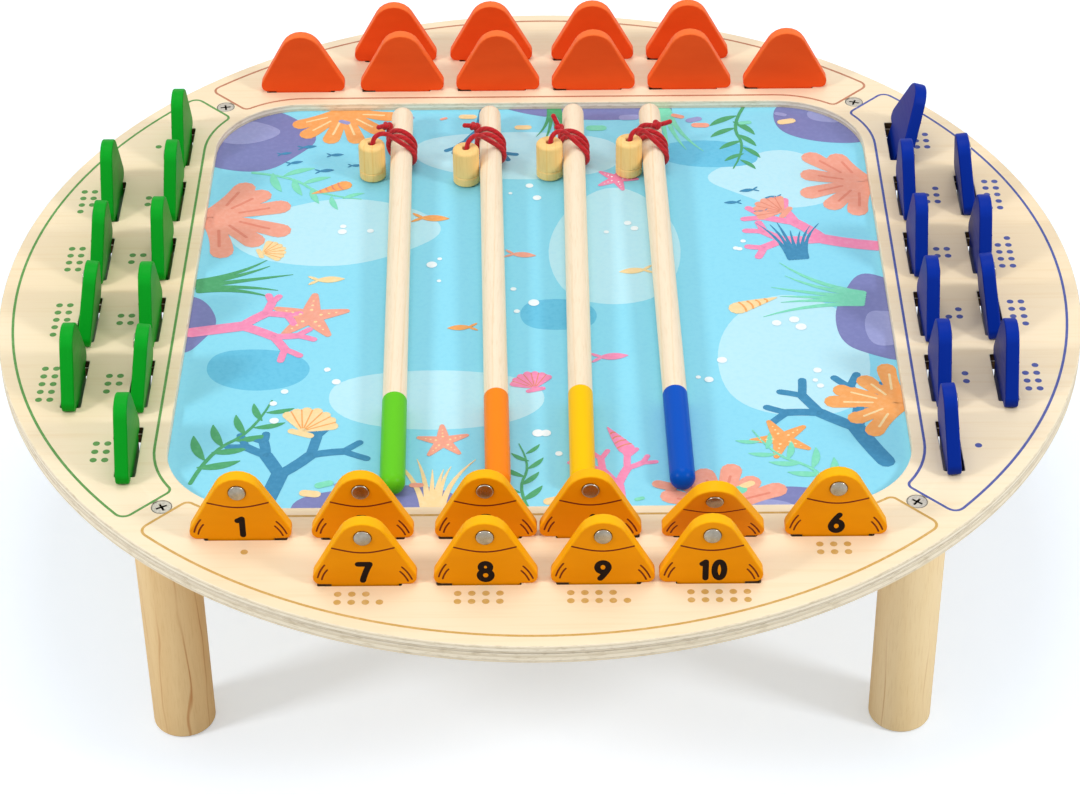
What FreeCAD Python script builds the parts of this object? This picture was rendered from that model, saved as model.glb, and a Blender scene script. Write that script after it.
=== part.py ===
"""Magnetic fishing game: a low round table with a pond, forty fish and four rods.

Millimetres, +Z up. The origin is on the floor below the middle of the table and the
front of the table faces -Y. Each side of the pond has ten numbered fish of one colour,
and every side is the front side turned by a quarter. The width of a fish sets the
pitch of the seats, and the seats set the rows, the pond, the table, the legs' places
and the rods.
"""
import FreeCAD, Part
import os
from FreeCAD import Placement, Rotation, Vector
from math import acos, asin, atan2, copysign, cos, degrees, hypot, pi, radians, sin, tan

# Table: two glued plywood discs on four dowel legs
RING_T = 4.0
BASE_T = 5.0
BOARD_ARRIS = 0.5
LEG_D = 27.5
LEG_L = 113.5
LEG_INSET = 23.726
LEG_FOOT_ROUND = 2.0

# Screws: one through both discs into the top of each leg
SCREW_HEAD_D = 9.0
SCREW_D = 4.5
SCREW_L = 38.0
SCREW_POINT_L = 4.5
SCREW_SINK = 0.4
SCREW_CLEARANCE = 0.1
PILOT_CLEARANCE = 0.05
PILOT_SPARE = 2.0
CROSS_W = 5.2
CROSS_TIP_W = 2.6
CROSS_T = 1.0
CROSS_DEPTH = 2.0
CROSS_TURNS = {"front_left": 28, "front_right": 52, "back_left": 10, "back_right": 71}

# Fish: a flat plate whose fins rest on the table and whose tail hangs in the slot
FISH_T = 6.0
FISH_HEAD = 32.3
FISH_W = 42.6
FLARE = 6.95
WAIST_Z = 17.6
FIN_Z = 4.8
FLANK_SLOPE = 1.81
FIN_ROUND = 5.0
FIN_FOOT_ROUND = 3.2
WAIST_ROUND = 14.5
SHOULDER = 7.3
TAIL_TAPER = 1.75
TAIL_L = 14.0
TAIL_ROUND = 3.0
LEAN_CLEARANCE = 0.15
WAIST_W = FISH_W - 2 * FLARE
TAIL_W = FISH_W - 2 * SHOULDER
TAIL_TIP_W = TAIL_W - 2 * TAIL_TAPER

# Slots: an inner row of six and an outer row of four on every side, with room for the
# tail to slide and to lean, and a gap between one fish and the next
INNER_COUNT = 6
OUTER_COUNT = 4
FISH_GAP = 6.4
SLIDE_ROOM = 3.4
LEAN_ROOM = 3.0
SLOT_CORNER_R = 0.8
SEAT_PITCH = FISH_W + FISH_GAP
SLOT_L = TAIL_W + 2 * SLIDE_ROOM
SLOT_W = FISH_T + LEAN_ROOM

# Plan: from the corner of the square of seats out to the table's edge
CORNER_GAP = 31.0
ROW_STEP = 29.5
RIM_W = 42.5
POND_MARGIN = 16.5
POND_CORNER_R = 42.0
INNER_ROW = SEAT_PITCH * INNER_COUNT / 2 + CORNER_GAP
OUTER_ROW = INNER_ROW + ROW_STEP
TABLE_D = 2 * (OUTER_ROW + RIM_W)
POND_W = 2 * (INNER_ROW - POND_MARGIN)
LEG_OUT = (TABLE_D / 2 - LEG_INSET) * cos(pi / 4)

# Steel disc in the outer face of each fish
DISC_D = 7.3
DISC_T = 1.6
DISC_Z = 24.9
DISC_PROUD = 0.7
DISC_CLEARANCE = 0.1

# Rods: dowels with round ends, lifted at the tip by their own cord, with room to lie
# along the pond
ROD_D = 10.8
ROD_ROOM = 25.0
ROD_L = POND_W - ROD_ROOM

# Cord: wound round the rod near its tip, then led into the bobbin
CORD_D = 2.4
WINDING_START = 24.0
WINDING_L = 22.0
WINDING_SLANT = 35.0
WINDING_CLEARANCE = 0.1
CORD_END_L = 7.5

# Bobbins: turned, with a cord hole down the middle and a magnet in the foot
BOBBIN_D = 13.0
BOBBIN_L = 19.0
BOBBIN_ROUND = 1.8
BOBBIN_HOLE_D = 3.4
BOBBIN_FOOT_ROUND = 0.5
GROOVE_Z = 4.6
GROOVE_DEPTH = 0.4
MAGNET_D = 10.0
MAGNET_T = 3.6
MAGNET_PROUD = 0.6
MAGNET_CLEARANCE = 0.1

# Heights that follow
BASE_Z = LEG_L
POND_Z = BASE_Z + BASE_T
TOP_Z = POND_Z + RING_T

# How far a cutter reaches past what it cuts, how near an edge counts as level, and the
# share of a straight run that the bend at one of its ends may take
CUT_OVER = 1.0
LEVEL = 1e-6
BEND_SHARE = 0.45

SIDES = {"yellow": 0, "blue": 90, "red": 180, "green": 270}
CORNERS = {
    "front_left": (-1, -1),
    "front_right": (1, -1),
    "back_left": (-1, 1),
    "back_right": (1, 1),
}

# How far each fish has slid along its slot, for numbers 1 to 10 of a side
SLIDES = {
    "yellow": (-2.0, 0.0, 2.4, -3.0, -1.0, 1.3, 2.3, 2.8, 1.7, -3.0),
    "blue": (-1.1, -3.0, -3.1, -0.8, -2.8, -1.1, -3.1, -1.7, -2.5, 1.5),
    "red": (-3.1, -3.1, -3.0, -3.1, -3.1, -1.3, -3.1, -2.9, 0.7, 1.4),
    "green": (0.5, -1.8, -1.4, 3.0, 2.5, 3.1, -2.5, 1.8, 2.3, 1.0),
}
# How far outwards of the middle of its slot an upright fish stands
STANDS = {"yellow": 1.0, "blue": 0.0, "red": -1.2, "green": 0.0}
# Fish that lean: outwards where positive, inwards where negative, as a share of the
# angle at which the tail meets both walls of its slot
LEANS = {
    ("yellow", 5): 1.0, ("blue", 6): 1.0, ("blue", 1): -0.3, ("blue", 5): -0.2,
    ("blue", 8): -0.5, ("blue", 10): -0.45, ("green", 2): -0.15, ("green", 5): -0.4,
    ("green", 8): -0.3, ("green", 9): -0.5,
}

# Where each rod lies: its handle's end, as a place from left to right and a distance
# from the pond's front edge, and how far it is turned to the left; where its bobbin
# stands, as a distance from the rod's tip and a gap beside it; and the cord's short
# end, as a distance from the tip, an angle round the rod from its top and a direction
RODS = {
    "green": {"end": (-62.5, 9.7), "turn": 1.26, "bobbin": (46.0, 2.3),
              "cord_end": (25.0, -40.0, (-6.0, -2.5, 0.6))},
    "orange": {"end": (-17.4, 10.8), "turn": 1.49, "bobbin": (52.0, 0.2),
               "cord_end": (25.5, -50.0, (-6.5, -1.5, 0.5))},
    "yellow": {"end": (18.7, 11.9), "turn": 0.37, "bobbin": (48.6, 0.2),
               "cord_end": (31.0, -45.0, (-5.0, 4.5, 3.0))},
    "blue": {"end": (61.4, 11.5), "turn": 1.19, "bobbin": (46.3, 0.2),
             "cord_end": (33.0, 35.0, (5.5, 5.5, 1.5))},
}
# The lead's run from the bobbin to the winding: share of the way and height above
# the bobbin's top at each point of its route
LEAD_ROUTE = ((0.0, -6.0), (0.02, 1.4), (0.25, 4.7), (0.55, 3.9), (0.8, 0.2), (1.0, -5.0))
LEAD_LANDING = 42.0


def outline(corners):
    """A closed wire through (x, z, radius) corners, each rounded by a tangent arc."""
    count = len(corners)
    edges = []
    ends = []
    for i, (x, z, radius) in enumerate(corners):
        here = Vector(x, 0, z)
        before = Vector(corners[i - 1][0], 0, corners[i - 1][1])
        after = Vector(corners[(i + 1) % count][0], 0, corners[(i + 1) % count][1])
        arrive = (here - before).normalize()
        leave = (after - here).normalize()
        turn = arrive.getAngle(leave)
        cut = radius * tan(turn / 2)
        start = here - arrive * cut
        stop = here + leave * cut
        arc = None
        if radius > 0:
            inward = (leave - arrive).normalize()
            middle = here + inward * radius * (1 / cos(turn / 2) - 1)
            arc = Part.Arc(start, middle, stop).toShape()
        ends.append((start, stop, arc))
    for i, (start, stop, arc) in enumerate(ends):
        if arc:
            edges.append(arc)
        edges.append(Part.LineSegment(stop, ends[(i + 1) % count][0]).toShape())
    return Part.Wire(edges)


def plate(corners, thickness):
    """The outline in the XZ plane as a plate, half its thickness each side of y = 0."""
    face = Part.Face(outline(corners))
    solid = face.extrude(Vector(0, thickness, 0))
    return solid.translated(Vector(0, -thickness / 2, 0))


def turned(profile):
    """A solid of revolution about Z whose outline runs through (radius, z) points."""
    points = [Vector(r, 0, z) for r, z in profile]
    wire = Part.makePolygon(points + points[:1])
    return Part.Face(wire).revolve(Vector(0, 0, 0), Vector(0, 0, 1), 360)


def rounded_prism(length, width, radius, z, height):
    """A prism from z up, its round-cornered outline centred on the Z axis."""
    x = length / 2
    y = width / 2
    wire = outline([(-x, -y, radius), (x, -y, radius), (x, y, radius), (-x, y, radius)])
    wire.Placement = Placement(Vector(0, 0, z), Rotation(Vector(1, 0, 0), -90))
    return Part.Face(wire).extrude(Vector(0, 0, height))


def seats():
    """(number, x, row) of the ten seats of a side, for someone sitting at that side."""
    places = []
    for count, row in ((INNER_COUNT, INNER_ROW), (OUTER_COUNT, OUTER_ROW)):
        for i in range(count):
            places.append((len(places) + 1, (i - (count - 1) / 2) * SEAT_PITCH, row))
    return places


def to_side(shape, side):
    return shape.rotated(Vector(0, 0, 0), Vector(0, 0, 1), SIDES[side])


def slot_cutters(z, height):
    """All forty slots as prisms from z up."""
    slot = rounded_prism(SLOT_L, SLOT_W, SLOT_CORNER_R, z, height)
    return [to_side(slot.translated(Vector(x, -row, 0)), side)
            for _, x, row in seats() for side in SIDES]


def leg_places():
    return {name: Vector(sx * LEG_OUT, sy * LEG_OUT, 0) for name, (sx, sy) in CORNERS.items()}


def disc(z, thickness):
    """One of the table's discs with its edges broken."""
    solid = Part.makeCylinder(TABLE_D / 2, thickness, Vector(0, 0, z))
    rims = [e for e in solid.Edges if e.BoundBox.ZLength < thickness / 2 and e.Length > TABLE_D]
    return solid.makeChamfer(BOARD_ARRIS, rims)


def screw_hole():
    """Cutter for one screw through the boards, its countersink opening at TOP_Z."""
    sunk_r = SCREW_HEAD_D / 2 + SCREW_SINK
    hole_r = SCREW_D / 2 + SCREW_CLEARANCE
    deep = sunk_r - hole_r
    low = BASE_Z - CUT_OVER
    high = TOP_Z + CUT_OVER
    return turned([(0, low), (hole_r, low), (hole_r, TOP_Z - deep),
                   (sunk_r + CUT_OVER, high), (0, high)])


def boards():
    ring = disc(POND_Z, RING_T)
    base = disc(BASE_Z, BASE_T)
    pond = rounded_prism(POND_W, POND_W, POND_CORNER_R, POND_Z - CUT_OVER,
                         RING_T + 2 * CUT_OVER)
    slots = slot_cutters(BASE_Z - CUT_OVER, RING_T + BASE_T + 2 * CUT_OVER)
    holes = [screw_hole().translated(place) for place in leg_places().values()]
    ring = ring.cut([pond] + slots + holes)
    base = base.cut(slots + holes)
    return {"ring_board": ring.Solids[0], "base_board": base.Solids[0]}


def leg():
    """A dowel with a rounded foot and a pilot hole for its screw."""
    dowel = Part.makeCylinder(LEG_D / 2, LEG_L)
    foot = [e for e in dowel.Edges if e.BoundBox.ZMax < LEVEL and e.Length > LEG_D]
    dowel = dowel.makeFillet(LEG_FOOT_ROUND, foot)
    pilot_l = SCREW_L - RING_T - BASE_T + PILOT_SPARE
    pilot = Part.makeCylinder(SCREW_D / 2 + PILOT_CLEARANCE, pilot_l,
                              Vector(0, 0, LEG_L - pilot_l))
    return dowel.cut(pilot)


def screw():
    """A countersunk screw with a cross recess, its head just below the table top."""
    head_r = SCREW_HEAD_D / 2
    shank_r = SCREW_D / 2
    head_z = TOP_Z - SCREW_SINK
    neck_z = head_z - (head_r - shank_r)
    end_z = TOP_Z - SCREW_L
    body = turned([(0, end_z), (shank_r, end_z + SCREW_POINT_L), (shank_r, neck_z),
                   (head_r, head_z), (0, head_z)])
    wide = CROSS_W / 2
    narrow = CROSS_TIP_W / 2
    low = head_z - CROSS_DEPTH
    high = head_z + CUT_OVER
    blade = plate([(-wide, high, 0), (wide, high, 0), (wide, head_z, 0), (narrow, low, 0),
                   (-narrow, low, 0), (-wide, head_z, 0)], CROSS_T)
    cross = blade.fuse(blade.rotated(Vector(0, 0, 0), Vector(0, 0, 1), 90))
    return body.cut(cross)


def screws():
    made = []
    for name, place in leg_places().items():
        one = screw().rotated(Vector(0, 0, 0), Vector(0, 0, 1), CROSS_TURNS[name])
        made.append(one.translated(place))
    return Part.Compound(made)


def fish_corners():
    """The fish's outline: domed head, flanks that flare into fins, tail below."""
    waist = WAIST_W / 2
    peak = WAIST_Z + waist * FLANK_SLOPE
    half_angle = atan2(1, FLANK_SLOPE)
    head_r = (peak - FISH_HEAD) / (1 / sin(half_angle) - 1)
    right = [
        (TAIL_TIP_W / 2, -TAIL_L, TAIL_ROUND),
        (TAIL_W / 2, 0, 0),
        (FISH_W / 2, 0, FIN_FOOT_ROUND),
        (FISH_W / 2, FIN_Z, FIN_ROUND),
        (waist, WAIST_Z, WAIST_ROUND),
    ]
    left = [(-x, z, radius) for x, z, radius in reversed(right)]
    return right + [(0, peak, head_r)] + left


def fish():
    """One fish standing upright, its outer face to the front, fins resting on z = 0."""
    body = plate(fish_corners(), FISH_T)
    pocket = Part.makeCylinder(DISC_D / 2 + DISC_CLEARANCE, DISC_T - DISC_PROUD + CUT_OVER,
                               Vector(0, -FISH_T / 2 - CUT_OVER, DISC_Z), Vector(0, 1, 0))
    return body.cut(pocket)


def fish_disc():
    face = -FISH_T / 2 - DISC_PROUD
    return Part.makeCylinder(DISC_D / 2, DISC_T, Vector(0, face, DISC_Z), Vector(0, 1, 0))


def lean_angle():
    """How far a fish tips before its tail meets both walls of its slot."""
    gap = SLOT_W - 2 * LEAN_CLEARANCE
    deep = RING_T + BASE_T
    return acos(FISH_T / hypot(gap, deep)) - atan2(deep, gap)


def seated(shape, side, number, x, row):
    """The fish or its disc moved from upright at the origin to its seat."""
    share = LEANS.get((side, number), 0)
    if share:
        heel = Vector(0, copysign(FISH_T / 2, -share), 0)
        shape = shape.translated(-heel).rotated(Vector(0, 0, 0), Vector(1, 0, 0),
                                                degrees(lean_angle()) * share)
        to_wall = (SLOT_W - FISH_T) / 2 - LEAN_CLEARANCE
        shape = shape.translated(heel - Vector(0, to_wall * share, 0))
    else:
        shape = shape.translated(Vector(0, -STANDS[side], 0))
    slide = SLIDES[side][number - 1]
    return to_side(shape.translated(Vector(x + slide, -row, TOP_Z)), side)


def fishes():
    made = {}
    discs = []
    upright = fish()
    disc_upright = fish_disc()
    for side in SIDES:
        for number, x, row in seats():
            made[f"fish_{side}_{number}"] = seated(upright, side, number, x, row)
            discs.append(seated(disc_upright, side, number, x, row))
    made["fish_discs"] = Part.Compound(discs)
    return made


def rod():
    """A dowel with hemispherical ends from y = 0 to its tip at y = ROD_L."""
    r = ROD_D / 2
    dowel = Part.makeCylinder(r, ROD_L - 2 * r, Vector(0, r, 0), Vector(0, 1, 0))
    ends = [Part.makeSphere(r, Vector(0, y, 0), Vector(0, 1, 0)) for y in (r, ROD_L - r)]
    return dowel.fuse(ends).removeSplitter()


def winding_radii():
    inner = ROD_D / 2 + WINDING_CLEARANCE
    return inner, inner + CORD_D


def winding(inner, outer):
    """The turns of cord as one slanted sleeve round a rod that starts at the origin."""
    middle = ROD_L - WINDING_START - WINDING_L / 2
    start = Vector(0, -WINDING_L, 0)
    along = Vector(0, 1, 0)
    sleeve = Part.makeCylinder(outer, 2 * WINDING_L, start, along)
    if inner > 0:
        sleeve = sleeve.cut(Part.makeCylinder(inner, 2 * WINDING_L, start, along))
    thick = WINDING_L * cos(radians(WINDING_SLANT))
    reach = 2 * outer
    slab = Part.makeBox(2 * reach, thick, 2 * reach, Vector(-reach, -thick / 2, -reach))
    slab.rotate(Vector(0, 0, 0), Vector(0, 0, 1), -WINDING_SLANT)
    return sleeve.common(slab).translated(Vector(0, middle, 0))


def rod_placement(place):
    """From a rod at the origin along +Y to where it lies, its tip lifted by the cord."""
    r = ROD_D / 2
    _, outer = winding_radii()
    reach = ROD_L - WINDING_START - WINDING_L - r
    lift = degrees(asin((outer - r) / reach))
    turn = Rotation(Vector(0, 0, 1), place["turn"]) * Rotation(Vector(1, 0, 0), lift)
    end_x, end_in = place["end"]
    end = Vector(end_x, end_in - POND_W / 2, POND_Z + r - r * sin(radians(lift)))
    return Placement(end, turn)


def cord_tube(points):
    """A round tube along straight runs joined by tangent arcs, as large as the runs allow."""
    edges = []
    at = points[0]
    radii = []
    for before, here, after in zip(points, points[1:], points[2:]):
        arrive = (here - before).normalize()
        leave = (after - here).normalize()
        turn = arrive.getAngle(leave)
        cut = BEND_SHARE * min((here - before).Length, (after - here).Length)
        start = here - arrive * cut
        stop = here + leave * cut
        radius = cut / tan(turn / 2)
        radii.append(round(radius, 1))
        middle = here + (leave - arrive).normalize() * radius * (1 / cos(turn / 2) - 1)
        edges.append(Part.LineSegment(at, start).toShape())
        edges.append(Part.Arc(start, middle, stop).toShape())
        at = stop
    edges.append(Part.LineSegment(at, points[-1]).toShape())
    path = Part.Wire(edges)
    heading = (points[1] - points[0]).normalize()
    section = Part.Wire(Part.makeCircle(CORD_D / 2, points[0], heading))
    tube = path.makePipeShell([section], True, True)
    area = pi * CORD_D ** 2 / 4
    print("cord radii", radii, "length", round(path.Length, 2),
          "volume ratio", round(tube.Volume / (area * path.Length), 4))
    return tube


def bobbin_spot(place, rod_at):
    """Where a bobbin stands on the pond, beside its rod."""
    from_tip, gap = place["bobbin"]
    beside = (ROD_D + BOBBIN_D) / 2 + gap
    spot = rod_at.multVec(Vector(-beside, ROD_L - from_tip, 0))
    return Vector(spot.x, spot.y, POND_Z)


def lead_points(place, rod_at):
    """The lead's route: up out of the bobbin, over and down onto the winding."""
    top = bobbin_spot(place, rod_at) + Vector(0, 0, MAGNET_PROUD + BOBBIN_L)
    landing = rod_at.multVec(Vector(0, ROD_L - LEAD_LANDING, 0))
    across = Vector(landing.x - top.x, landing.y - top.y, 0)
    return [top + across * share + Vector(0, 0, rise) for share, rise in LEAD_ROUTE]


def cord_end(place, rod_at, outer):
    """The short end that is left over where the cord is knotted round the rod."""
    from_tip, angle, way = place["cord_end"]
    middle = outer - CORD_D / 2
    root = Vector(middle * sin(radians(angle)), ROD_L - from_tip, middle * cos(radians(angle)))
    return Part.makeCylinder(CORD_D / 2, CORD_END_L, rod_at.multVec(root), Vector(*way))


def largest(shape):
    return max(shape.Solids, key=lambda solid: solid.Volume)


def cords():
    """Windings and leads of the four cords; what leaves a winding is trimmed to it."""
    windings = []
    leads = []
    inner, outer = winding_radii()
    for place in RODS.values():
        rod_at = rod_placement(place)
        sleeve = winding(inner, outer)
        sleeve.Placement = rod_at.multiply(sleeve.Placement)
        filled = winding(0, outer)
        filled.Placement = rod_at.multiply(filled.Placement)
        windings.append(sleeve)
        for tube in (cord_tube(lead_points(place, rod_at)), cord_end(place, rod_at, outer)):
            leads.append(largest(tube.cut(filled)))
    return {"cord_windings": Part.Compound(windings), "cord_leads": Part.Compound(leads)}


def bobbin():
    """Turned from dowel: rounded top, a line cut near the foot, a pocket for the magnet."""
    r = BOBBIN_D / 2
    hole_r = BOBBIN_HOLE_D / 2
    body = Part.makeCylinder(r, BOBBIN_L)
    top = [e for e in body.Edges if e.BoundBox.ZMin > BOBBIN_L - LEVEL]
    body = body.makeFillet(BOBBIN_ROUND, top)
    foot = [e for e in body.Edges if e.BoundBox.ZMax < LEVEL]
    body = body.makeChamfer(BOBBIN_FOOT_ROUND, foot)
    half_w = GROOVE_DEPTH + CUT_OVER
    groove = turned([(r - GROOVE_DEPTH, GROOVE_Z), (r + CUT_OVER, GROOVE_Z - half_w),
                     (r + CUT_OVER, GROOVE_Z + half_w)])
    hole = Part.makeCylinder(hole_r, BOBBIN_L)
    pocket = Part.makeCylinder(MAGNET_D / 2 + MAGNET_CLEARANCE, MAGNET_T - MAGNET_PROUD)
    return body.cut([groove, hole, pocket])


def tackle():
    """Each rod and bobbin, and the magnets as one group."""
    made = {}
    magnets = []
    for name, place in RODS.items():
        rod_at = rod_placement(place)
        one = rod()
        one.Placement = rod_at
        made[f"rod_{name}"] = one
        spot = bobbin_spot(place, rod_at)
        made[f"bobbin_{name}"] = bobbin().translated(spot + Vector(0, 0, MAGNET_PROUD))
        magnets.append(Part.makeCylinder(MAGNET_D / 2, MAGNET_T, spot))
    made["bobbin_magnets"] = Part.Compound(magnets)
    return made


def model():
    nodes = boards()
    for name, place in leg_places().items():
        nodes[f"leg_{name}"] = leg().translated(place)
    nodes["leg_screws"] = screws()
    nodes.update(fishes())
    nodes.update(tackle())
    nodes.update(cords())
    return nodes


os.makedirs("parts", exist_ok=True)
for node, shape in model().items():
    if not shape.isValid():
        print("not valid:", node)
    shape.exportStep(f"parts/{node}.step")
print("nodes:", len(os.listdir("parts")))
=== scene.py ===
# %% [markdown]
# # A magnetic fishing game, dressed for a picture
#
# The object is a low round table of plywood on four dowel legs. A rounded square pond is
# sunk into it, with a printed sea on its floor. Forty numbered wooden fish stand in slots
# round the pond, ten on each side in the side's own colour. Four dowel rods lie in the
# pond, each with a red cord wound round its tip and a turned bobbin on the cord's end.
#
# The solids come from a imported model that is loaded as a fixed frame. This script adds
# what a camera sees: soft edges, print, paint, grain, the cords and the light.

# %% Load the frame
import bpy, bmesh, random
from math import acos, asin, atan2, ceil, copysign, cos, hypot, pi, radians, sin, tan
from mathutils import Matrix, Vector


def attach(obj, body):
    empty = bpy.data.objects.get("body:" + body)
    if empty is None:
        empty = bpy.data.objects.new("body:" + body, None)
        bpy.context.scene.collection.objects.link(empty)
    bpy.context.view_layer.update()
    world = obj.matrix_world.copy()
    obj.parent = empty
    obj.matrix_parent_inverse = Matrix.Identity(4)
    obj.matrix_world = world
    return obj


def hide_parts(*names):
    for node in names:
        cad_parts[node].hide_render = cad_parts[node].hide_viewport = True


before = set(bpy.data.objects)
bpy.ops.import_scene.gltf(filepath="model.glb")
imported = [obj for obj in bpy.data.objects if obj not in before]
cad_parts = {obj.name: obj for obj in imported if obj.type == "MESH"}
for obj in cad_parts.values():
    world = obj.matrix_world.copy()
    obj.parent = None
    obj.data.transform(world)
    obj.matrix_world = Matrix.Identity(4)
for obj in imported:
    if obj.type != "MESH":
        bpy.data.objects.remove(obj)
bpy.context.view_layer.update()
scene = bpy.context.scene
MM = 0.001
print("nodes in the frame:", len(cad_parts))

# %% [markdown]
# ## The camera
#
# The picture was taken with a long lens from the front, about 1.4 m away and well above
# the table, so the sides of the pond hardly converge. A camera can be aimed by hand, with
# a constraint, or by writing down its place and its three directions. The last is used
# here, because the place and the turn were worked out from points of the picture and
# should not move again.

# %% Camera
FOCAL_PX, PICTURE_W, SENSOR_W = 2958.36, 1080, 36
eye = Vector((9.01, -1127.68, 918.82)) * MM
yaw, pitch, roll = -0.0083, 0.6527, -0.0126
ahead = Vector((sin(yaw) * cos(pitch), cos(yaw) * cos(pitch), -sin(pitch)))
level = Vector((cos(yaw), -sin(yaw), 0))
above = level.cross(ahead)
right = level * cos(roll) + above * sin(roll)
up = above * cos(roll) - level * sin(roll)

lens = bpy.data.cameras.new("camera")
lens.sensor_width = SENSOR_W
lens.lens = FOCAL_PX / PICTURE_W * SENSOR_W
camera = bpy.data.objects.new("camera", lens)
camera.matrix_world = Matrix((
    (right.x, up.x, -ahead.x, eye.x),
    (right.y, up.y, -ahead.y, eye.y),
    (right.z, up.z, -ahead.z, eye.z),
    (0, 0, 0, 1)))
scene.collection.objects.link(camera)
scene.camera = camera
print("lens in mm:", round(lens.lens, 2))

# %% [markdown]
# ## Sizes that the pieces share
#
# The same named sizes as in the part's source, in millimetres. Rods, bobbins, fish and
# slots are placed from them, so each dressed piece stands exactly where its solid does.

# %% Sizes
LEG_D, LEG_L, LEG_OUT = 27.5, 113.5, 160.0
BASE_Z, POND_Z, TOP_Z = 113.5, 118.5, 122.5
TABLE_D, POND_W, POND_CORNER_R = 500.0, 323.0, 42.0
ROD_D, ROD_L = 10.8, 298.0
CORD_D, WINDING_START, WINDING_L, WINDING_CLEARANCE = 2.4, 24.0, 22.0, 0.1
BOBBIN_D, BOBBIN_L, BOBBIN_HOLE_D, MAGNET_PROUD = 13.0, 19.0, 3.4, 0.6
print("table in mm:", TABLE_D, "across,", TOP_Z, "high; rods:", ROD_L, "long")

# %% [markdown]
# ## Where the rods lie
#
# A rod's handle rests on the pond's floor and its tip rides on its own cord, so the rod
# slopes up by less than one degree. One matrix per rod takes a rod that lies along +Y
# from the origin to its place. Cord, bobbin and knot are placed with the same matrix.

# %% Rod places
RODS = {
    "green": {"end": (-62.5, -151.8), "turn": 1.26, "bobbin": (252.0, 2.3),
              "dip": 61.4, "cord_end": (25.0, -40.0, (-6.0, -2.5, 0.6))},
    "orange": {"end": (-17.4, -150.7), "turn": 1.49, "bobbin": (246.0, 0.2),
               "dip": 62.6, "cord_end": (25.5, -50.0, (-6.5, -1.5, 0.5))},
    "yellow": {"end": (18.7, -149.6), "turn": 0.37, "bobbin": (249.4, 0.2),
               "dip": 63.3, "cord_end": (31.0, -45.0, (-5.0, 4.5, 3.0))},
    "blue": {"end": (61.4, -150.0), "turn": 1.19, "bobbin": (251.7, 0.2),
             "dip": 63.0, "cord_end": (33.0, 35.0, (5.5, 5.5, 1.5))},
}


def rod_matrix(place):
    r = ROD_D / 2
    reach = ROD_L - WINDING_START - WINDING_L - r
    lift = asin((WINDING_CLEARANCE + CORD_D) / reach)
    end_x, end_y = place["end"]
    foot = Vector((end_x, end_y, POND_Z + r - r * sin(lift)))
    turn = Matrix.Rotation(radians(place["turn"]), 4, "Z")
    return Matrix.Translation(foot) @ turn @ Matrix.Rotation(lift, 4, "X")


def bobbin_spot(place):
    along, gap = place["bobbin"]
    spot = rod_matrix(place) @ Vector((-((ROD_D + BOBBIN_D) / 2 + gap), along, 0))
    return Vector((spot.x, spot.y, POND_Z))


for name, place in RODS.items():
    print(name, "bobbin at", [round(v, 1) for v in bobbin_spot(place)])

# %% [markdown]
# ## Curves
#
# Cords, knots, printed strokes and soft fields of colour all start as smooth NURBS curves.
# One function writes a curve from its control points. Another turns a curve into a bmesh,
# which is what the shaping operators work on, and throws the curve away.

# %% Curve helpers


def nurbs(name, points, closed=False, fine=4, **settings):
    """A smooth curve along control points, from end to end or closed."""
    line = bpy.data.curves.new(name, "CURVE")
    line.dimensions = "3D"
    for key, value in settings.items():
        setattr(line, key, value)
    spline = line.splines.new("NURBS")
    spline.points.add(len(points) - 1)
    for point, at in zip(spline.points, points):
        point.co = (*at, 1)
    spline.order_u = 3
    spline.use_endpoint_u = not closed
    spline.use_cyclic_u = closed
    spline.resolution_u = fine
    return line


def curve_bmesh(line):
    """The shape of a curve as a bmesh; the curve is thrown away."""
    holder = bpy.data.objects.new("holder", line)
    mesh = bpy.data.meshes.new_from_object(holder)
    bm = bmesh.new()
    bm.from_mesh(mesh)
    bpy.data.objects.remove(holder)
    bpy.data.curves.remove(line)
    bpy.data.meshes.remove(mesh)
    return bm


corner = nurbs("corner", [(0, 0, 0), (1, 0, 0), (1, 1, 0)])
print("points of a curve round one corner:", len(curve_bmesh(corner).verts))

# %% [markdown]
# ## The cords
#
# Each cord is a soft red cotton cord, 2.4 mm thick. It comes up out of the bobbin's hole,
# lies over to the rod, goes three times round the tip and is knotted there, with a short
# end left over. A cord could be a chain of cylinders or a simulated rope, but a curve with
# a round bevel is lighter and never shows a joint. The curve is a NURBS line: the lead's
# points are written down, and a loop gives sixteen points to each turn of the winding. The
# lead meets the winding along its direction, and the end folds back in a small round arc.

# %% Cord routes
LEAD_ROUTE = ((0.0, -6.0), (0.02, 1.4), (0.25, 4.7), (0.55, 3.9), (0.8, 0.2))
LEAD_LANDING, LANDING_ANGLE = 42.0, radians(50)
FOLD_EARLY, FOLD_R, FOLD_SHARE, FOLD_STEPS = radians(35), 2 * CORD_D, 0.45, 4
TURNS, POINTS_PER_TURN, TURN_PITCH = 3, 16, 5.2
SLANT = tan(radians(35))
SHORT_END_L = 7.5


def winding_point(place, angle, along):
    """A point on the winding: angle round the rod from its top, distance from the handle."""
    radius = (ROD_D / 2 + WINDING_CLEARANCE + CORD_D / 2) / cos(pi / POINTS_PER_TURN)
    across = radius * sin(angle)
    return rod_matrix(place) @ Vector((across, along - SLANT * across, radius * cos(angle)))


def folded(root, forward, tip):
    """Points of a round fold out of the direction forward, then straight to tip."""
    forward = forward.normalized()
    toward = tip - root
    radius = min(FOLD_R, toward.length * FOLD_SHARE)
    ahead = toward.dot(forward)
    side = toward - forward * ahead
    off = side.length - radius
    side.normalize()
    turn = atan2(off, ahead) + asin(radius / hypot(off, ahead))
    bend = []
    for i in range(1, FOLD_STEPS + 1):
        a = turn * i / FOLD_STEPS
        bend.append(root + forward * radius * sin(a) + side * radius * (1 - cos(a)))
    return bend + [(bend[-1] + tip) / 2, tip]


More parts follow.
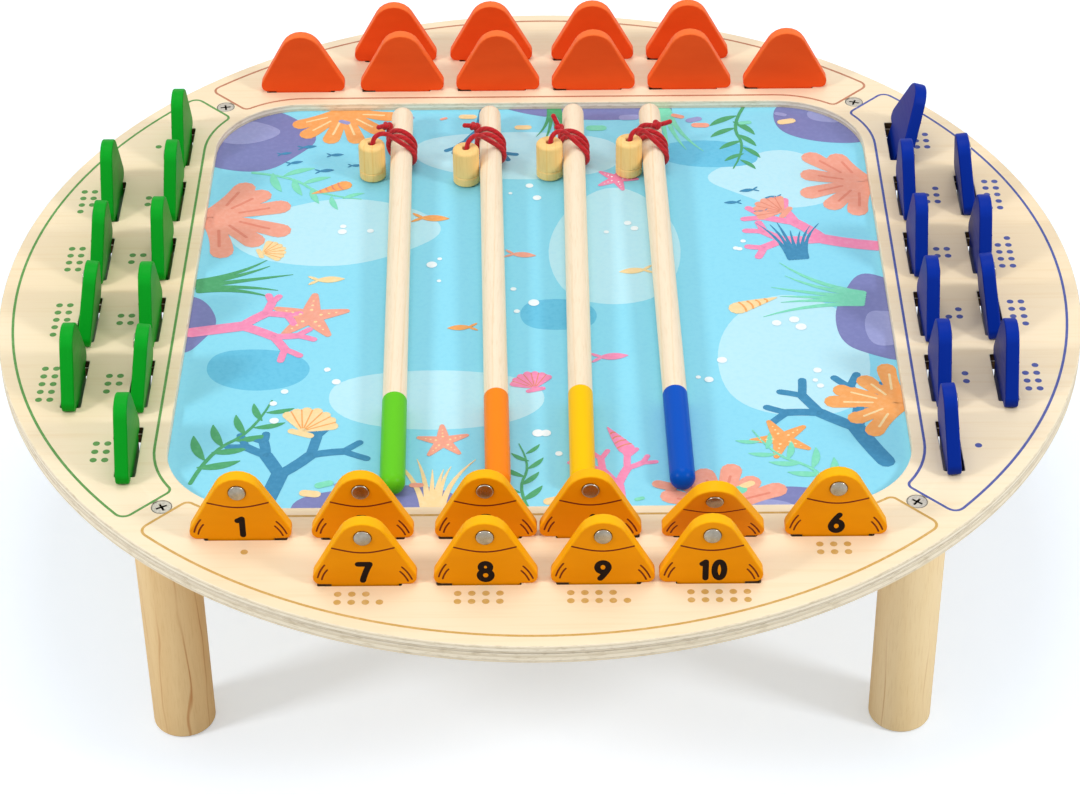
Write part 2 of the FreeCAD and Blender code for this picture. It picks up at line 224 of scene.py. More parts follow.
def cord_route(place):
    """From inside the bobbin over to the rod, round it, and out to the short end."""
    top = bobbin_spot(place) + Vector((0, 0, MAGNET_PROUD + BOBBIN_L))
    landing = rod_matrix(place) @ Vector((0, ROD_L - LEAD_LANDING, 0))
    across = Vector((landing.x - top.x, landing.y - top.y, 0))
    route = [top + across * share + Vector((0, 0, rise)) for share, rise in LEAD_ROUTE]
    from_tip, end_angle, way = place["cord_end"]
    start = ROD_L - from_tip - TURN_PITCH * TURNS - SLANT * ROD_D / 2 * sin(radians(end_angle))
    start = max(ROD_L - LEAD_LANDING, start)
    last = 2 * pi * TURNS + radians(end_angle)
    leave = last - FOLD_EARLY
    steps = ceil((leave - LANDING_ANGLE) / (2 * pi / POINTS_PER_TURN))
    for i in range(steps + 1):
        angle = LANDING_ANGLE + (leave - LANDING_ANGLE) * i / steps
        route.append(winding_point(place, angle, start + TURN_PITCH * angle / (2 * pi)))
    tip = winding_point(place, last, start + TURN_PITCH * last / (2 * pi))
    tip += Vector(way).normalized() * SHORT_END_L
    return route + folded(route[-1], route[-1] - route[-2], tip)


def route_length(points):
    return sum((b - a).length for a, b in zip(points, points[1:]))


for name, place in RODS.items():
    print(name, "route points:", len(cord_route(place)))

# %% [markdown]
# ### The cords as curves
#
# The route of a cord becomes the control points of its curve, and the curve's round bevel
# is the cord. The length printed here is that of the straight lines between the control
# points; the smooth curve is a little shorter.

# %% Cords
cords = {}
for name, place in RODS.items():
    route = cord_route(place)
    line = nurbs(f"cord_{name}", [point * MM for point in route],
                 bevel_depth=CORD_D / 2 * MM, bevel_resolution=4, use_fill_caps=True)
    cord = bpy.data.objects.new(f"red_cord_{name}", line)
    scene.collection.objects.link(cord)
    cords[name] = cord
    print(name, "cord points:", len(route), "polygon length mm:", round(route_length(route), 1))

# %% [markdown]
# ## Helpers for materials
#
# Colours are written as they look on a screen and turned to linear light by one function.
# A second function adds a shader node, sets it and joins it, so that a material reads as a
# short list of steps. A number or colour that is the same all over a surface is set on the
# shader's own socket.

# %% Colour and node helpers


def linear(hex_colour):
    """An sRGB hex value as linear red, green, blue and alpha."""
    values = [int(hex_colour[i:i + 2], 16) / 255 for i in (1, 3, 5)]
    return [v / 12.92 if v <= 0.04045 else ((v + 0.055) / 1.055) ** 2.4 for v in values] + [1]


def add(tree, kind, inputs=None, **settings):
    """A shader node with its settings, its inputs set or linked."""
    node = tree.nodes.new("ShaderNode" + kind)
    for key, value in settings.items():
        setattr(node, key, value)
    for key, value in (inputs or {}).items():
        if isinstance(value, bpy.types.NodeSocket):
            tree.links.new(value, node.inputs[key])
        else:
            node.inputs[key].default_value = value
    return node


def new_material(name, constants):
    """A material of one Principled shader with some constants on its sockets."""
    material = bpy.data.materials.new(name)
    material.use_nodes = True
    tree = material.node_tree
    tree.nodes.clear()
    shader = add(tree, "BsdfPrincipled", constants)
    add(tree, "OutputMaterial", {"Surface": shader.outputs[0]})
    return material, tree, shader


print("white is", [round(v, 3) for v in linear("#FFFFFF")])

# %% [markdown]
# ### Patterns
#
# Wood, paint and print all vary softly over the surface. A picture would give that too,
# but noise has no seams and no end. When its coordinates are squeezed along one axis it
# turns into grain. The helpers below work out a value, mix two colours by it, lay a darker
# veil over a colour, or turn the value into fine relief.

# %% Pattern helpers


def calc(tree, operation, *values):
    return add(tree, "Math", dict(enumerate(values)), operation=operation).outputs[0]


def part_of(tree, vector, axis):
    return add(tree, "SeparateXYZ", {0: vector}).outputs[axis]


def remap(tree, value, low, high, start=0.0, stop=1.0):
    """A value that runs from low to high, made to run from start to stop."""
    return add(tree, "MapRange", {"Value": value, "From Min": low, "From Max": high,
                                  "To Min": start, "To Max": stop}).outputs[0]


def mixed(tree, share, low, high, blend="MIX"):
    return add(tree, "Mix", {0: share, 6: low, 7: high}, data_type="RGBA",
               blend_type=blend).outputs[2]


def streaks(tree, scale, size, detail=4, roughness=0.55):
    """Noise on object coordinates, drawn out along the axes where scale is small."""
    place = add(tree, "TexCoord")
    stretched = add(tree, "Mapping", {"Vector": place.outputs["Object"], "Scale": scale})
    return add(tree, "TexNoise", {"Vector": stretched.outputs[0], "Scale": size,
                                  "Detail": detail, "Roughness": roughness}).outputs["Fac"]


def between(tree, value, low, high, start=0.0, stop=1.0):
    """A mix of two hex colours by a value that runs from start to stop."""
    return mixed(tree, remap(tree, value, start, stop), linear(low), linear(high))


def veiled(tree, colour, veil, value, start, stop, share):
    """A colour under a share of a darker veil, which shows where a value is low."""
    shade = between(tree, value, veil, "#FFFFFF", start, stop)
    return mixed(tree, share, colour, shade, "MULTIPLY")


def relief(tree, shader, height, depth_mm, strength):
    """Fine relief of the surface from a height value."""
    bump = add(tree, "Bump", {"Height": height, "Distance": depth_mm * MM,
                              "Strength": strength})
    tree.links.new(bump.outputs[0], shader.inputs["Normal"])


print("patterns:", [f.__name__ for f in (streaks, between, veiled, relief)])

# %% [markdown]
# ## Birch plywood
#
# The two boards are birch plywood, sanded and clear lacquered. Its face is a pale cream
# veneer with a faint grain along the board. Its edge shows the stack of veneers: every
# second one is cut across the grain, so it is darker and rougher, and a thin dark glue
# line parts one from the next. A picture of wood could be wrapped on, but the veneers are
# easily drawn from the height above the floor, and then every slot shows them too.

# %% Plywood material
FACE_FROM = 0.85
VENEER_WANDER = 0.7
VENEERS = [(0.0, "#E6D8BC"), (0.15, "#EADDC3"), (0.17, "#CFC2AA"), (0.19, "#F4EAD4"),
           (0.36, "#F2E7CF"), (0.38, "#D3C6AE"), (0.40, "#DFD2B8"), (0.50, "#E6DAC1"),
           (0.545, "#FBF4E4"), (0.585, "#BFB39C"), (0.60, "#E6DAC2"), (0.71, "#D3C7AF"),
           (0.73, "#F6EDD8"), (0.86, "#F4EAD3"), (0.88, "#CABCA3"), (0.90, "#EADDC2"),
           (1.0, "#F8EBD0")]


def birch_plywood():
    """Veneer on the level faces, the stack of veneers on all others."""
    material, tree, shader = new_material("birch_plywood_lacquered",
                                          {"Specular IOR Level": 0.3})
    broad = streaks(tree, (3, 26, 3), 1.0, 3)
    fine = streaks(tree, (14, 420, 60), 1.0, 4, 0.6)
    cloud = streaks(tree, (6, 9, 6), 1.0, 2)
    face = between(tree, broad, "#F9E6C4", "#FDEBCB", 0.35, 0.65)
    face = veiled(tree, face, "#EEDCB8", fine, 0.28, 0.50, 0.22)
    face = veiled(tree, face, "#F7E3C4", cloud, 0.35, 0.6, 0.25)

    place = add(tree, "TexCoord")
    wander = calc(tree, "SUBTRACT", streaks(tree, (18, 18, 18), 1.0, 3), 0.5)
    layer = calc(tree, "MULTIPLY_ADD", wander, VENEER_WANDER * MM,
                 part_of(tree, place.outputs["Object"], "Z"))
    veneers = add(tree, "ValToRGB", {"Fac": remap(tree, layer, BASE_Z * MM, TOP_Z * MM)})
    ramp = veneers.color_ramp
    while len(ramp.elements) < len(VENEERS):
        ramp.elements.new(0.5)
    for stop, (at, _) in zip(ramp.elements, VENEERS):
        stop.position = at
    for stop, (_, colour) in zip(ramp.elements, VENEERS):
        stop.color = linear(colour)
    specks = streaks(tree, (160, 160, 700), 1.0, 3, 0.7)
    edge = veiled(tree, veneers.outputs[0], "#B9A98A", specks, 0.3, 0.5, 0.4)

    facing = add(tree, "NewGeometry")
    flat = calc(tree, "ABSOLUTE", part_of(tree, facing.outputs["True Normal"], "Z"))
    is_face = calc(tree, "GREATER_THAN", flat, FACE_FROM)
    tree.links.new(mixed(tree, is_face, edge, face), shader.inputs["Base Color"])
    tree.links.new(remap(tree, is_face, 0.0, 1.0, 0.75, 0.42), shader.inputs["Roughness"])
    relief(tree, shader, fine, 0.02, 0.25)
    return material


def browned_wood():
    """A slot's wall: dark brown, matt veneers, painted shade of the deep slot."""
    material, tree, shader = new_material("plywood_slot_painted_shade",
                                          {"Roughness": 0.8, "Specular IOR Level": 0.2})
    # Both browns are painted shade: they darken the slot's wall for the shade deep in the slot.
    layers = streaks(tree, (90, 90, 900), 1.0, 3)
    tree.links.new(between(tree, layers, "#3A2A18", "#664C2E", 0.3, 0.7),
                   shader.inputs["Base Color"])
    relief(tree, shader, layers, 0.08, 0.4)
    return material


PLYWOOD = birch_plywood()
SLOT_PAINTED_SHADE = browned_wood()
print("made", PLYWOOD.name, SLOT_PAINTED_SHADE.name)

# %% [markdown]
# ## Solid wood: legs, rods and bobbins
#
# Legs, rods and bobbins are round stock, so the grain runs along them and the yearly rings
# show as long bands that now and then close to a flame. A band texture does that when its
# coordinates are squeezed along the stock and pushed about by noise. Real rings are not
# evenly spaced or equally dark, so a second noise lets a line fade and come back. The left
# legs have a more figured grain than the right ones, and their colours are painted darker
# and warmer as painted shade. The rods are pale and nearly plain.

# %% Dowel materials
WAVE_PERIOD = 0.31
FIBRE_STRETCH = 0.07


def dowel_wood(name, light, dark, line, along, across, ring_mm, figure,
               stretch=FIBRE_STRETCH, late=0.1):
    """Round stock with its grain along one axis and its rings stacked across another.

    Figure bends the rings, stretch draws them out, and late is the dark share of a ring.
    """
    material, tree, shader = new_material(name, {"Roughness": 0.5, "Specular IOR Level": 0.3})
    squeeze = [1.0, 1.0, 1.0]
    squeeze["xyz".index(along)] = stretch
    drawn_out = [FIBRE_STRETCH if s < 1 else 1.0 for s in squeeze]
    place = add(tree, "TexCoord")
    stretched = add(tree, "Mapping", {"Vector": place.outputs["Object"], "Scale": squeeze})
    rings = add(tree, "TexWave", {"Vector": stretched.outputs[0],
                                  "Scale": WAVE_PERIOD / (ring_mm * MM), "Distortion": figure,
                                  "Detail": 2.0, "Detail Scale": 0.9, "Detail Roughness": 0.5},
                bands_direction=across.upper(), wave_profile="SIN")
    tone = streaks(tree, [s * 55 for s in drawn_out], 1.0, 3)
    fibres = streaks(tree, [s * 1400 for s in drawn_out], 1.0, 3, 0.65)
    fading = streaks(tree, [s * 70 for s in squeeze], 1.0, 2)
    share = remap(tree, fading, 0.38, 0.62, 0.0, 0.75)
    wood = between(tree, tone, dark, light, 0.3, 0.65)
    wood = veiled(tree, wood, line, rings.outputs["Fac"], 0.0, late, share)
    wood = veiled(tree, wood, "#E6D8BE", fibres, 0.3, 0.5, 0.3)
    tree.links.new(wood, shader.inputs["Base Color"])
    relief(tree, shader, fibres, 0.05, 0.3)
    return material


# The left legs' darker, warmer colours are painted shade; their stronger figure is grain.
LEG_WOOD = {
    "left": dowel_wood("pine_dowel_figured_painted_shade", "#EFD19C", "#DDB77E", "#D09A5E", "z", "y", 5.0,
                       6.5, 0.2, 0.03),
    "right": dowel_wood("pine_dowel_pale", "#F9E2B5", "#F1D5A0", "#D0AC7A", "z", "y", 6.0,
                        5.0, 0.12, 0.02),
}
ROD_WOOD = dowel_wood("birch_dowel_sanded", "#FAE8CC", "#F8E4C5", "#F8ECD8", "y", "x", 5.0, 3.0)
BOBBIN_WOOD = dowel_wood("birch_turned", "#FFD78C", "#FCCE80", "#FDF0D4", "z", "x", 4.0, 3.0)
print("made", [wood.name for wood in LEG_WOOD.values()], ROD_WOOD.name, BOBBIN_WOOD.name)

# %% [markdown]
# ## Paint and ink
#
# The fish are sprayed with satin paint and the handles are dipped. Sprayed paint has a
# fine unevenness, like orange peel, and a little of the wood's grain shows through it.
# Where a surface faces up, as the fish's top edges do, its colour is mixed towards a brighter one:
# a painted highlight of the light from above.
# The lines, numbers and dots are printed ink: matt, thin and very slightly uneven.

# %% Paint and ink materials
PEEL = 0.9


def paint(name, light, dark, edge, gloss=0.42):
    """Sprayed or dipped paint; edge is a painted highlight, mixed in where it faces up."""
    material, tree, shader = new_material(name, {"Specular IOR Level": 0.08})
    tone = streaks(tree, (30, 30, 90), 1.0, 3)
    colour = between(tree, tone, dark, light, 0.3, 0.7)
    facing = add(tree, "NewGeometry")
    painted_highlight_share = remap(tree, part_of(tree, facing.outputs["Normal"], "Z"), 0.1, 0.75)
    # Faces that point up are mixed towards edge, the brighter colour: a painted highlight.
    tree.links.new(mixed(tree, painted_highlight_share, colour, linear(edge)), shader.inputs["Base Color"])
    peel = streaks(tree, (1, 1, 1), 1 / (PEEL * MM), 2)
    grain = streaks(tree, (40, 40, 900), 1.0, 2)
    wear = remap(tree, grain, 0.0, 1.0, gloss - 0.06, gloss + 0.08)
    tree.links.new(wear, shader.inputs["Roughness"])
    relief(tree, shader, calc(tree, "ADD", peel, grain), 0.02, 0.25)
    return material


def ink(name, colour, faded, gloss=0.6):
    material, tree, shader = new_material(name, {"Roughness": gloss,
                                                 "Specular IOR Level": 0.15})
    tone = streaks(tree, (1, 1, 1), 420, 3)
    tree.links.new(between(tree, tone, faded, colour, 0.25, 0.55),
                   shader.inputs["Base Color"])
    return material


# The third colour of each paint is its painted highlight, for faces that point up.
FISH_PAINT = {
    "yellow": paint("wood_paint_amber", "#EE9600", "#E88F00", "#FFBA0C"),
    "blue": paint("wood_paint_navy", "#00268A", "#002180", "#002C9A"),
    "red": paint("wood_paint_vermilion", "#F2561E", "#EA4F1A", "#FF7838"),
    "green": paint("wood_paint_leaf_green", "#00921A", "#008A16", "#06A024"),
}
HANDLE_PAINT = {
    "green": paint("dipped_paint_lime", "#58C01C", "#52B818", "#66CC22", 0.3),
    "orange": paint("dipped_paint_orange", "#F88010", "#F2780C", "#FF8A18", 0.3),
    "yellow": paint("dipped_paint_yellow", "#FCC200", "#F4BA00", "#FFC800", 0.3),
    "blue": paint("dipped_paint_blue", "#004CB8", "#0044A8", "#0052C0", 0.3),
}
ZONE_INK = {
    "yellow": ink("printed_ink_ochre", "#D0A65A", "#DCB676"),
    "blue": ink("printed_ink_indigo", "#5460A6", "#6772B0"),
    "red": ink("printed_ink_russet", "#C28262", "#CC9478"),
    "green": ink("printed_ink_moss", "#629A52", "#74A664"),
}
NUMBER_INK = ink("printed_ink_black", "#140602", "#1C0C06")
LINE_INK = ink("printed_ink_maroon", "#6B1E04", "#7A2C10")
print("paints:", len(FISH_PAINT) + len(HANDLE_PAINT), "inks:", len(ZONE_INK) + 2)

# %% [markdown]
# ## Metal
#
# Each fish has a steel disc for the magnet to catch. It is cut from sheet, so its face has
# fine rolling lines and it mirrors what stands before it. The screws are zinc plated, and
# only the flat of a head is bright: its recess, rim and cone are painted dark, as painted
# shade with a little dull oxide. One material tells them apart by height and by the
# distance from the screw's axis.

# %% Metal materials
SCREW_SINK, SCREW_RIM_R, SCREW_FLAT_R = 0.4, 4.4, 3.9


def sheet_metal(name, light, dark, gloss, line_mm):
    material, tree, shader = new_material(name, {"Metallic": 1.0})
    lines = streaks(tree, (1 / (line_mm * MM), 1 / (line_mm * MM), 60), 1.0, 3)
    spots = streaks(tree, (1, 1, 1), 260, 3)
    tree.links.new(between(tree, spots, dark, light, 0.3, 0.6), shader.inputs["Base Color"])
    wear = remap(tree, lines, 0.0, 1.0, gloss - 0.05, gloss + 0.1)
    tree.links.new(wear, shader.inputs["Roughness"])
    relief(tree, shader, lines, 0.01, 0.2)
    return material


def screw_zinc():
    """Zinc plate on the head's flat; recess, rim and cone are painted shade, with dull oxide."""
    material, tree, shader = new_material("zinc_screw_painted_shade",
                                          {"Roughness": 0.4, "Metallic": 1.0})
    place = add(tree, "TexCoord")
    head_z = TOP_Z - SCREW_SINK
    depth = remap(tree, part_of(tree, place.outputs["Object"], "Z"),
                  (head_z - 0.5) * MM, (head_z - 0.05) * MM)
    quadrant = add(tree, "VectorMath", {0: place.outputs["Object"]}, operation="ABSOLUTE")
    plan = add(tree, "VectorMath", {0: quadrant.outputs[0], 1: (1, 1, 0)},
               operation="MULTIPLY")
    out = add(tree, "VectorMath", {0: plan.outputs[0], 1: (LEG_OUT * MM, LEG_OUT * MM, 0)},
              operation="DISTANCE")
    inside = remap(tree, out.outputs["Value"], SCREW_RIM_R * MM, SCREW_FLAT_R * MM)
    bright = calc(tree, "MULTIPLY", depth, inside)
    spots = streaks(tree, (1, 1, 1), 900, 3)
    plate = between(tree, spots, "#B2ACA0", "#CEC8BC", 0.3, 0.6)
    # Away from the flat the head is painted near black: painted shade, with a little dull oxide.
    tree.links.new(mixed(tree, bright, linear("#221D18"), plate),
                   shader.inputs["Base Color"])
    relief(tree, shader, spots, 0.02, 0.2)
    return material


DISC_STEEL = sheet_metal("rolled_steel_disc", "#B4AFA4", "#989286", 0.22, 0.25)
SCREW_ZINC = screw_zinc()
MAGNET_NICKEL = sheet_metal("nickel_plated_magnet", "#C4C2BE", "#B0AEAA", 0.25, 0.3)
print("made", DISC_STEEL.name, SCREW_ZINC.name, MAGNET_NICKEL.name)

# %% [markdown]
# ## Cotton
#
# The cord is twisted cotton: slanting strands that go round it, in a soft dull red. The
# strands could be modelled, but at this size a sine does. It follows the cord's own UV
# map, which runs along and around it, so the strands bend with the cord.

# %% Cord material
STRANDS, STRAND_TURNS = 3.0, 62.0


def twisted_cotton():
    """Slanting strands: a sine over the cord's UV map, along it and around it."""
    material, tree, shader = new_material("twisted_cotton_cord", {
        "Roughness": 0.8, "Specular IOR Level": 0.25, "Sheen Weight": 0.25})
    place = add(tree, "TexCoord")
    turns = calc(tree, "MULTIPLY", part_of(tree, place.outputs["UV"], "X"), STRAND_TURNS)
    lean = calc(tree, "MULTIPLY_ADD", part_of(tree, place.outputs["UV"], "Y"), STRANDS, turns)
    strand = calc(tree, "SINE", calc(tree, "MULTIPLY", lean, 2 * pi))
    fuzz = streaks(tree, (1, 1, 1), 1800, 3)
    tree.links.new(between(tree, strand, "#B2121B", "#C81B24", -0.9, 0.6),
                   shader.inputs["Base Color"])
    relief(tree, shader, calc(tree, "MULTIPLY_ADD", fuzz, 0.5, strand), 0.06, 0.6)
    return material


RED_COTTON = twisted_cotton()
for cord in cords.values():
    cord.data.materials.append(RED_COTTON)
print("made", RED_COTTON.name, "for", len(cords), "cords")

# %% [markdown]
# ## Helpers for shapes
#
# Every new piece starts as a bmesh, is shaped by operators in millimetres and then becomes
# an object. One function does that last step for all of them. The object stands at the
# origin like the frame's own, and it is smooth where it is round and crisp where it isn't.

# %% From bmesh to piece


def finish_piece(name, bm, materials, nodes=(), smooth=True, angle=38):
    """The bmesh as an object of the scene that stands for the named solids."""
    bmesh.ops.scale(bm, vec=(MM, MM, MM), verts=bm.verts[:])
    mesh = bpy.data.meshes.new(name)
    bm.to_mesh(mesh)
    bm.free()
    for material in materials:
        mesh.materials.append(material)
    obj = bpy.data.objects.new(name, mesh)
    scene.collection.objects.link(obj)
    if smooth:
        for face in mesh.polygons:
            face.use_smooth = True
        mesh.set_sharp_from_angle(angle=radians(angle))
        even = obj.modifiers.new("even_shading", "WEIGHTED_NORMAL")
        even.keep_sharp = True
    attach(obj, "root")
    if nodes:
        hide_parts(*nodes)
    return obj


# %% [markdown]
# ### Profiles and outlines
#
# Four more functions cover most shapes: one spins a profile round an axis as a lathe does,
# one gives a profile its points along an arc, one gives flat faces a thickness, and one
# rounds an outline's corners with true arcs.

# %% Profile and outline helpers


def turned(bm, profile, steps, closed=False):
    """Spins a profile of (radius, height) points round the Z axis."""
    before = set(bm.verts)
    points = [bm.verts.new((r, 0, z)) for r, z in profile]
    pairs = list(zip(points, points[1:]))
    if closed:
        pairs.append((points[-1], points[0]))
    edges = [bm.edges.new(pair) for pair in pairs]
    bmesh.ops.spin(bm, geom=points + edges, cent=(0, 0, 0), axis=(0, 0, 1), angle=2 * pi,
                   steps=steps, use_merge=True)
    made = [v for v in bm.verts if v not in before]
    bmesh.ops.remove_doubles(bm, verts=made, dist=1e-5)
    made = [v for v in bm.verts if v not in before]
    faces = list({face for v in made for face in v.link_faces})
    bmesh.ops.recalc_face_normals(bm, faces=faces)
    return made, faces


def thicken(bm, along):
    """Gives flat faces a thickness by drawing them out along a vector."""
    grown = bmesh.ops.extrude_face_region(bm, geom=bm.faces[:])
    bmesh.ops.translate(bm, vec=along,
                        verts=[v for v in grown["geom"] if isinstance(v, bmesh.types.BMVert)])


def quarter(centre_r, centre_z, radius, start, stop, steps=6):
    """Profile points along an arc from angle start to stop, in degrees."""
    return [(centre_r + radius * cos(radians(start + (stop - start) * i / steps)),
             centre_z + radius * sin(radians(start + (stop - start) * i / steps)))
            for i in range(steps + 1)]


def rounded_outline(bm, corners, steps=8):
    """A closed outline of (x, z, radius) corners; each arc is spun from its first point."""
    firsts, lasts = [], []
    count = len(corners)
    for i, (x, z, radius) in enumerate(corners):
        corner = Vector((x, 0, z))
        before = Vector((corners[i - 1][0], 0, corners[i - 1][1]))
        after = Vector((corners[(i + 1) % count][0], 0, corners[(i + 1) % count][1]))
        arrive, leave = (corner - before).normalized(), (after - corner).normalized()
        bend = arrive.angle(leave)
        first = bm.verts.new(corner - arrive * radius * tan(bend / 2))
        last = first
        if radius > 0:
            axis = arrive.cross(leave).normalized()
            centre = first.co + axis.cross(arrive) * radius
            spun = bmesh.ops.spin(bm, geom=[first], cent=centre, axis=axis, angle=bend,
                                  steps=steps)
            last = spun["geom_last"][0]
        firsts.append(first)
        lasts.append(last)
    for i in range(count):
        bm.edges.new((lasts[i], firsts[(i + 1) % count]))
    return bm.edges[:]


print("points of a quarter circle:", len(quarter(0, 0, 1, 0, 90)))

# %% [markdown]
# ## The two boards
#
# The upper board is a ring with the pond's opening; the lower one closes the pond from
# below. Forty slots and four screw holes go through both. Round outlines are circles; the
# pond and the slots are rectangles with their corners beveled round.

# %% Board outlines
SEAT_PITCH, INNER_ROW, OUTER_ROW = 49.0, 178.0, 207.5
SLOT_L, SLOT_W, SLOT_CORNER_R = 34.8, 9.0, 0.8
SIDES = {"yellow": 0, "blue": 90, "red": 180, "green": 270}
SEATS = [(i + 1, (i - 2.5) * SEAT_PITCH, INNER_ROW) for i in range(6)]
SEATS += [(i + 7, (i - 1.5) * SEAT_PITCH, OUTER_ROW) for i in range(4)]
EDGE_SLOPE = 0.35
RIM_SLOPE = 0.5
SCREW_HOLE_R, SCREW_SUNK_R = 2.35, 4.9


def round_loop(bm, radius, place, z, steps):
    made = bmesh.ops.create_circle(bm, segments=steps, radius=radius,
                                   matrix=Matrix.Translation((place.x, place.y, z)))
    return list({edge for v in made["verts"] for edge in v.link_edges})


def slot_loop(bm, length, width, corner, turn, place, z, steps):
    """A rectangle with its corners beveled round, kept as edges only."""
    matrix = (Matrix.Rotation(radians(turn), 4, "Z") @ Matrix.Translation((place.x, place.y, z))
              @ Matrix.Diagonal((length / 2, width / 2, 1, 1)))
    made = bmesh.ops.create_grid(bm, x_segments=1, y_segments=1, size=1, matrix=matrix)
    face = made["verts"][0].link_faces[0]
    rounded = bmesh.ops.bevel(bm, geom=made["verts"], offset=corner, segments=steps,
                              profile=0.5, affect="VERTICES", material=-1)
    face = max((f for v in rounded["verts"] for f in v.link_faces), key=lambda f: f.calc_area())
    edges = face.edges[:]
    bmesh.ops.delete(bm, geom=[face], context="FACES_ONLY")
    return edges


print("slots:", len(SIDES) * len(SEATS))

# %% [markdown]
# ### A board with its holes
#
# The holes could be cut with booleans, but then every edge stays knife sharp. Here each
# outline is drawn at a few heights, a little wider at the faces, and the outlines are
# bridged: that gives each edge its small sanded slope. A slot's wall is painted dark brown
# as painted shade, but its sanded slope is bare wood again. The faces between the outlines
# are filled last.

# %% Boards


def board(name, low, high, pond, node):
    """A plywood disc from low to high with all its holes."""
    bm = bmesh.new()
    middle = Vector((0, 0, 0))
    floor_edges, top_edges = [], []

    def stack(loops, material=0):
        for lower, upper in zip(loops, loops[1:]):
            wall = bmesh.ops.bridge_loops(bm, edges=lower + upper)
            for face in wall["faces"]:
                face.normal_update()
                face.material_index = material if abs(face.normal.z) < 0.3 else 0
        floor_edges.extend(loops[0])
        top_edges.extend(loops[-1])

    rim = TABLE_D / 2
    stack([round_loop(bm, r, middle, z, 360) for r, z in (
        (rim - RIM_SLOPE, low), (rim, low + RIM_SLOPE), (rim, high - RIM_SLOPE),
        (rim - RIM_SLOPE, high))])
    if pond:
        stack([slot_loop(bm, POND_W + 2 * w, POND_W + 2 * w, POND_CORNER_R + w, 0, middle, z, 20)
               for w, z in ((0, low), (0, high - EDGE_SLOPE), (EDGE_SLOPE, high))])
    # Slot walls take the second material, which is painted shade.
    for turn in SIDES.values():
        for _, x, row in SEATS:
            stack([slot_loop(bm, SLOT_L + 2 * w, SLOT_W + 2 * w, SLOT_CORNER_R + w, turn,
                             Vector((x, -row, 0)), z, 6)
                   for w, z in ((EDGE_SLOPE, low), (0, low + EDGE_SLOPE),
                                (0, high - EDGE_SLOPE), (EDGE_SLOPE, high))], 1)
    for sx in (-1, 1):
        for sy in (-1, 1):
            at = Vector((sx * LEG_OUT, sy * LEG_OUT, 0))
            levels = [(SCREW_HOLE_R, low), (SCREW_HOLE_R, high)]
            if pond:
                sunk = SCREW_SUNK_R - SCREW_HOLE_R
                levels = [(SCREW_HOLE_R, low), (SCREW_HOLE_R, high - sunk), (SCREW_SUNK_R, high)]
            stack([round_loop(bm, r, at, z, 32) for r, z in levels])
    bmesh.ops.triangle_fill(bm, edges=floor_edges, use_beauty=True)
    bmesh.ops.triangle_fill(bm, edges=top_edges, use_beauty=True)
    bmesh.ops.recalc_face_normals(bm, faces=bm.faces[:])
    open_edges = sum(1 for e in bm.edges if len(e.link_faces) != 2)
    print(name, "faces:", len(bm.faces), "edges not closed:", open_edges)
    return finish_piece(name, bm, [PLYWOOD, SLOT_PAINTED_SHADE], [node], angle=50)


board("plywood_ring", POND_Z, TOP_Z, True, "ring_board")
board("plywood_base", BASE_Z, POND_Z, False, "base_board")

# %% [markdown]
# ## Legs
#
# A leg is a planed dowel with a sanded foot and a hole for its screw. It is turned from a
# profile, which is what a lathe would do, so the round foot and the hole come for free.

# %% Legs
PILOT_R, PILOT_L, FOOT_ROUND = 2.3, 31.0, 2.0
for sx, side_name in ((-1, "left"), (1, "right")):
    for sy, end_name in ((-1, "front"), (1, "back")):
        bm = bmesh.new()
        r = LEG_D / 2
        profile = [(0, 0)] + quarter(r - FOOT_ROUND, FOOT_ROUND, FOOT_ROUND, -90, 0)
        profile += [(r, LEG_L), (PILOT_R, LEG_L), (PILOT_R, LEG_L - PILOT_L), (0, LEG_L - PILOT_L)]
        turned(bm, profile, 72)
        bmesh.ops.translate(bm, vec=(sx * LEG_OUT, sy * LEG_OUT, 0), verts=bm.verts[:])
        finish_piece(f"dowel_leg_{end_name}_{side_name}", bm, [LEG_WOOD[side_name]],
                     [f"leg_{end_name}_{side_name}"])
print("legs: 4")

# %% [markdown]
# ## Printing
#
# Ink lies on the surface as a film far thinner than a hair. It could be a picture wrapped
# on the board, but here each stroke is a curve with a round section, pressed flat. Its
# ends get a ball before it is pressed, so that they stay round. A stroke may swell and
# taper, and leaves, arms of a starfish and branches of coral are all such strokes.

# %% Strokes
INK_HALF = 0.03
THINNEST = 0.05


def stroke(points, width, closed=False, swell=None, fine=4):
    """A pressed stroke through (x, y) points in mm, on the plane z = 0."""
    points = [Vector((x, y, 0)) for x, y in points]
    if len(points) == 2:
        points.insert(1, (points[0] + points[1]) / 2)
    swell = swell or [1.0] * len(points)
    line = nurbs("stroke", points, closed, fine, bevel_depth=width / 2, bevel_resolution=1)
    for point, share in zip(line.splines[0].points, swell):
        point.radius = share
    bm = curve_bmesh(line)
    if not closed:
        for at, share in ((points[0], swell[0]), (points[-1], swell[-1])):
            bmesh.ops.create_uvsphere(bm, u_segments=10, v_segments=6,
                                      radius=max(width / 2 * share, THINNEST),
                                      matrix=Matrix.Translation(at))
    bmesh.ops.scale(bm, vec=(1, 1, INK_HALF / (width / 2)), verts=bm.verts[:])
    return bm


def join(target, part, matrix=Matrix(), material=0):
    """Copies a bmesh into another, moved by matrix, with one material."""
    bmesh.ops.transform(part, matrix=matrix, verts=part.verts[:])
    for face in part.faces:
        face.material_index = material
    mesh = bpy.data.meshes.new("part")
    part.to_mesh(mesh)
    part.free()
    target.from_mesh(mesh)
    bpy.data.meshes.remove(mesh)


print("stroke of three points:", len(stroke([(0, 0), (4, 2), (8, 0)], 1).faces), "faces")

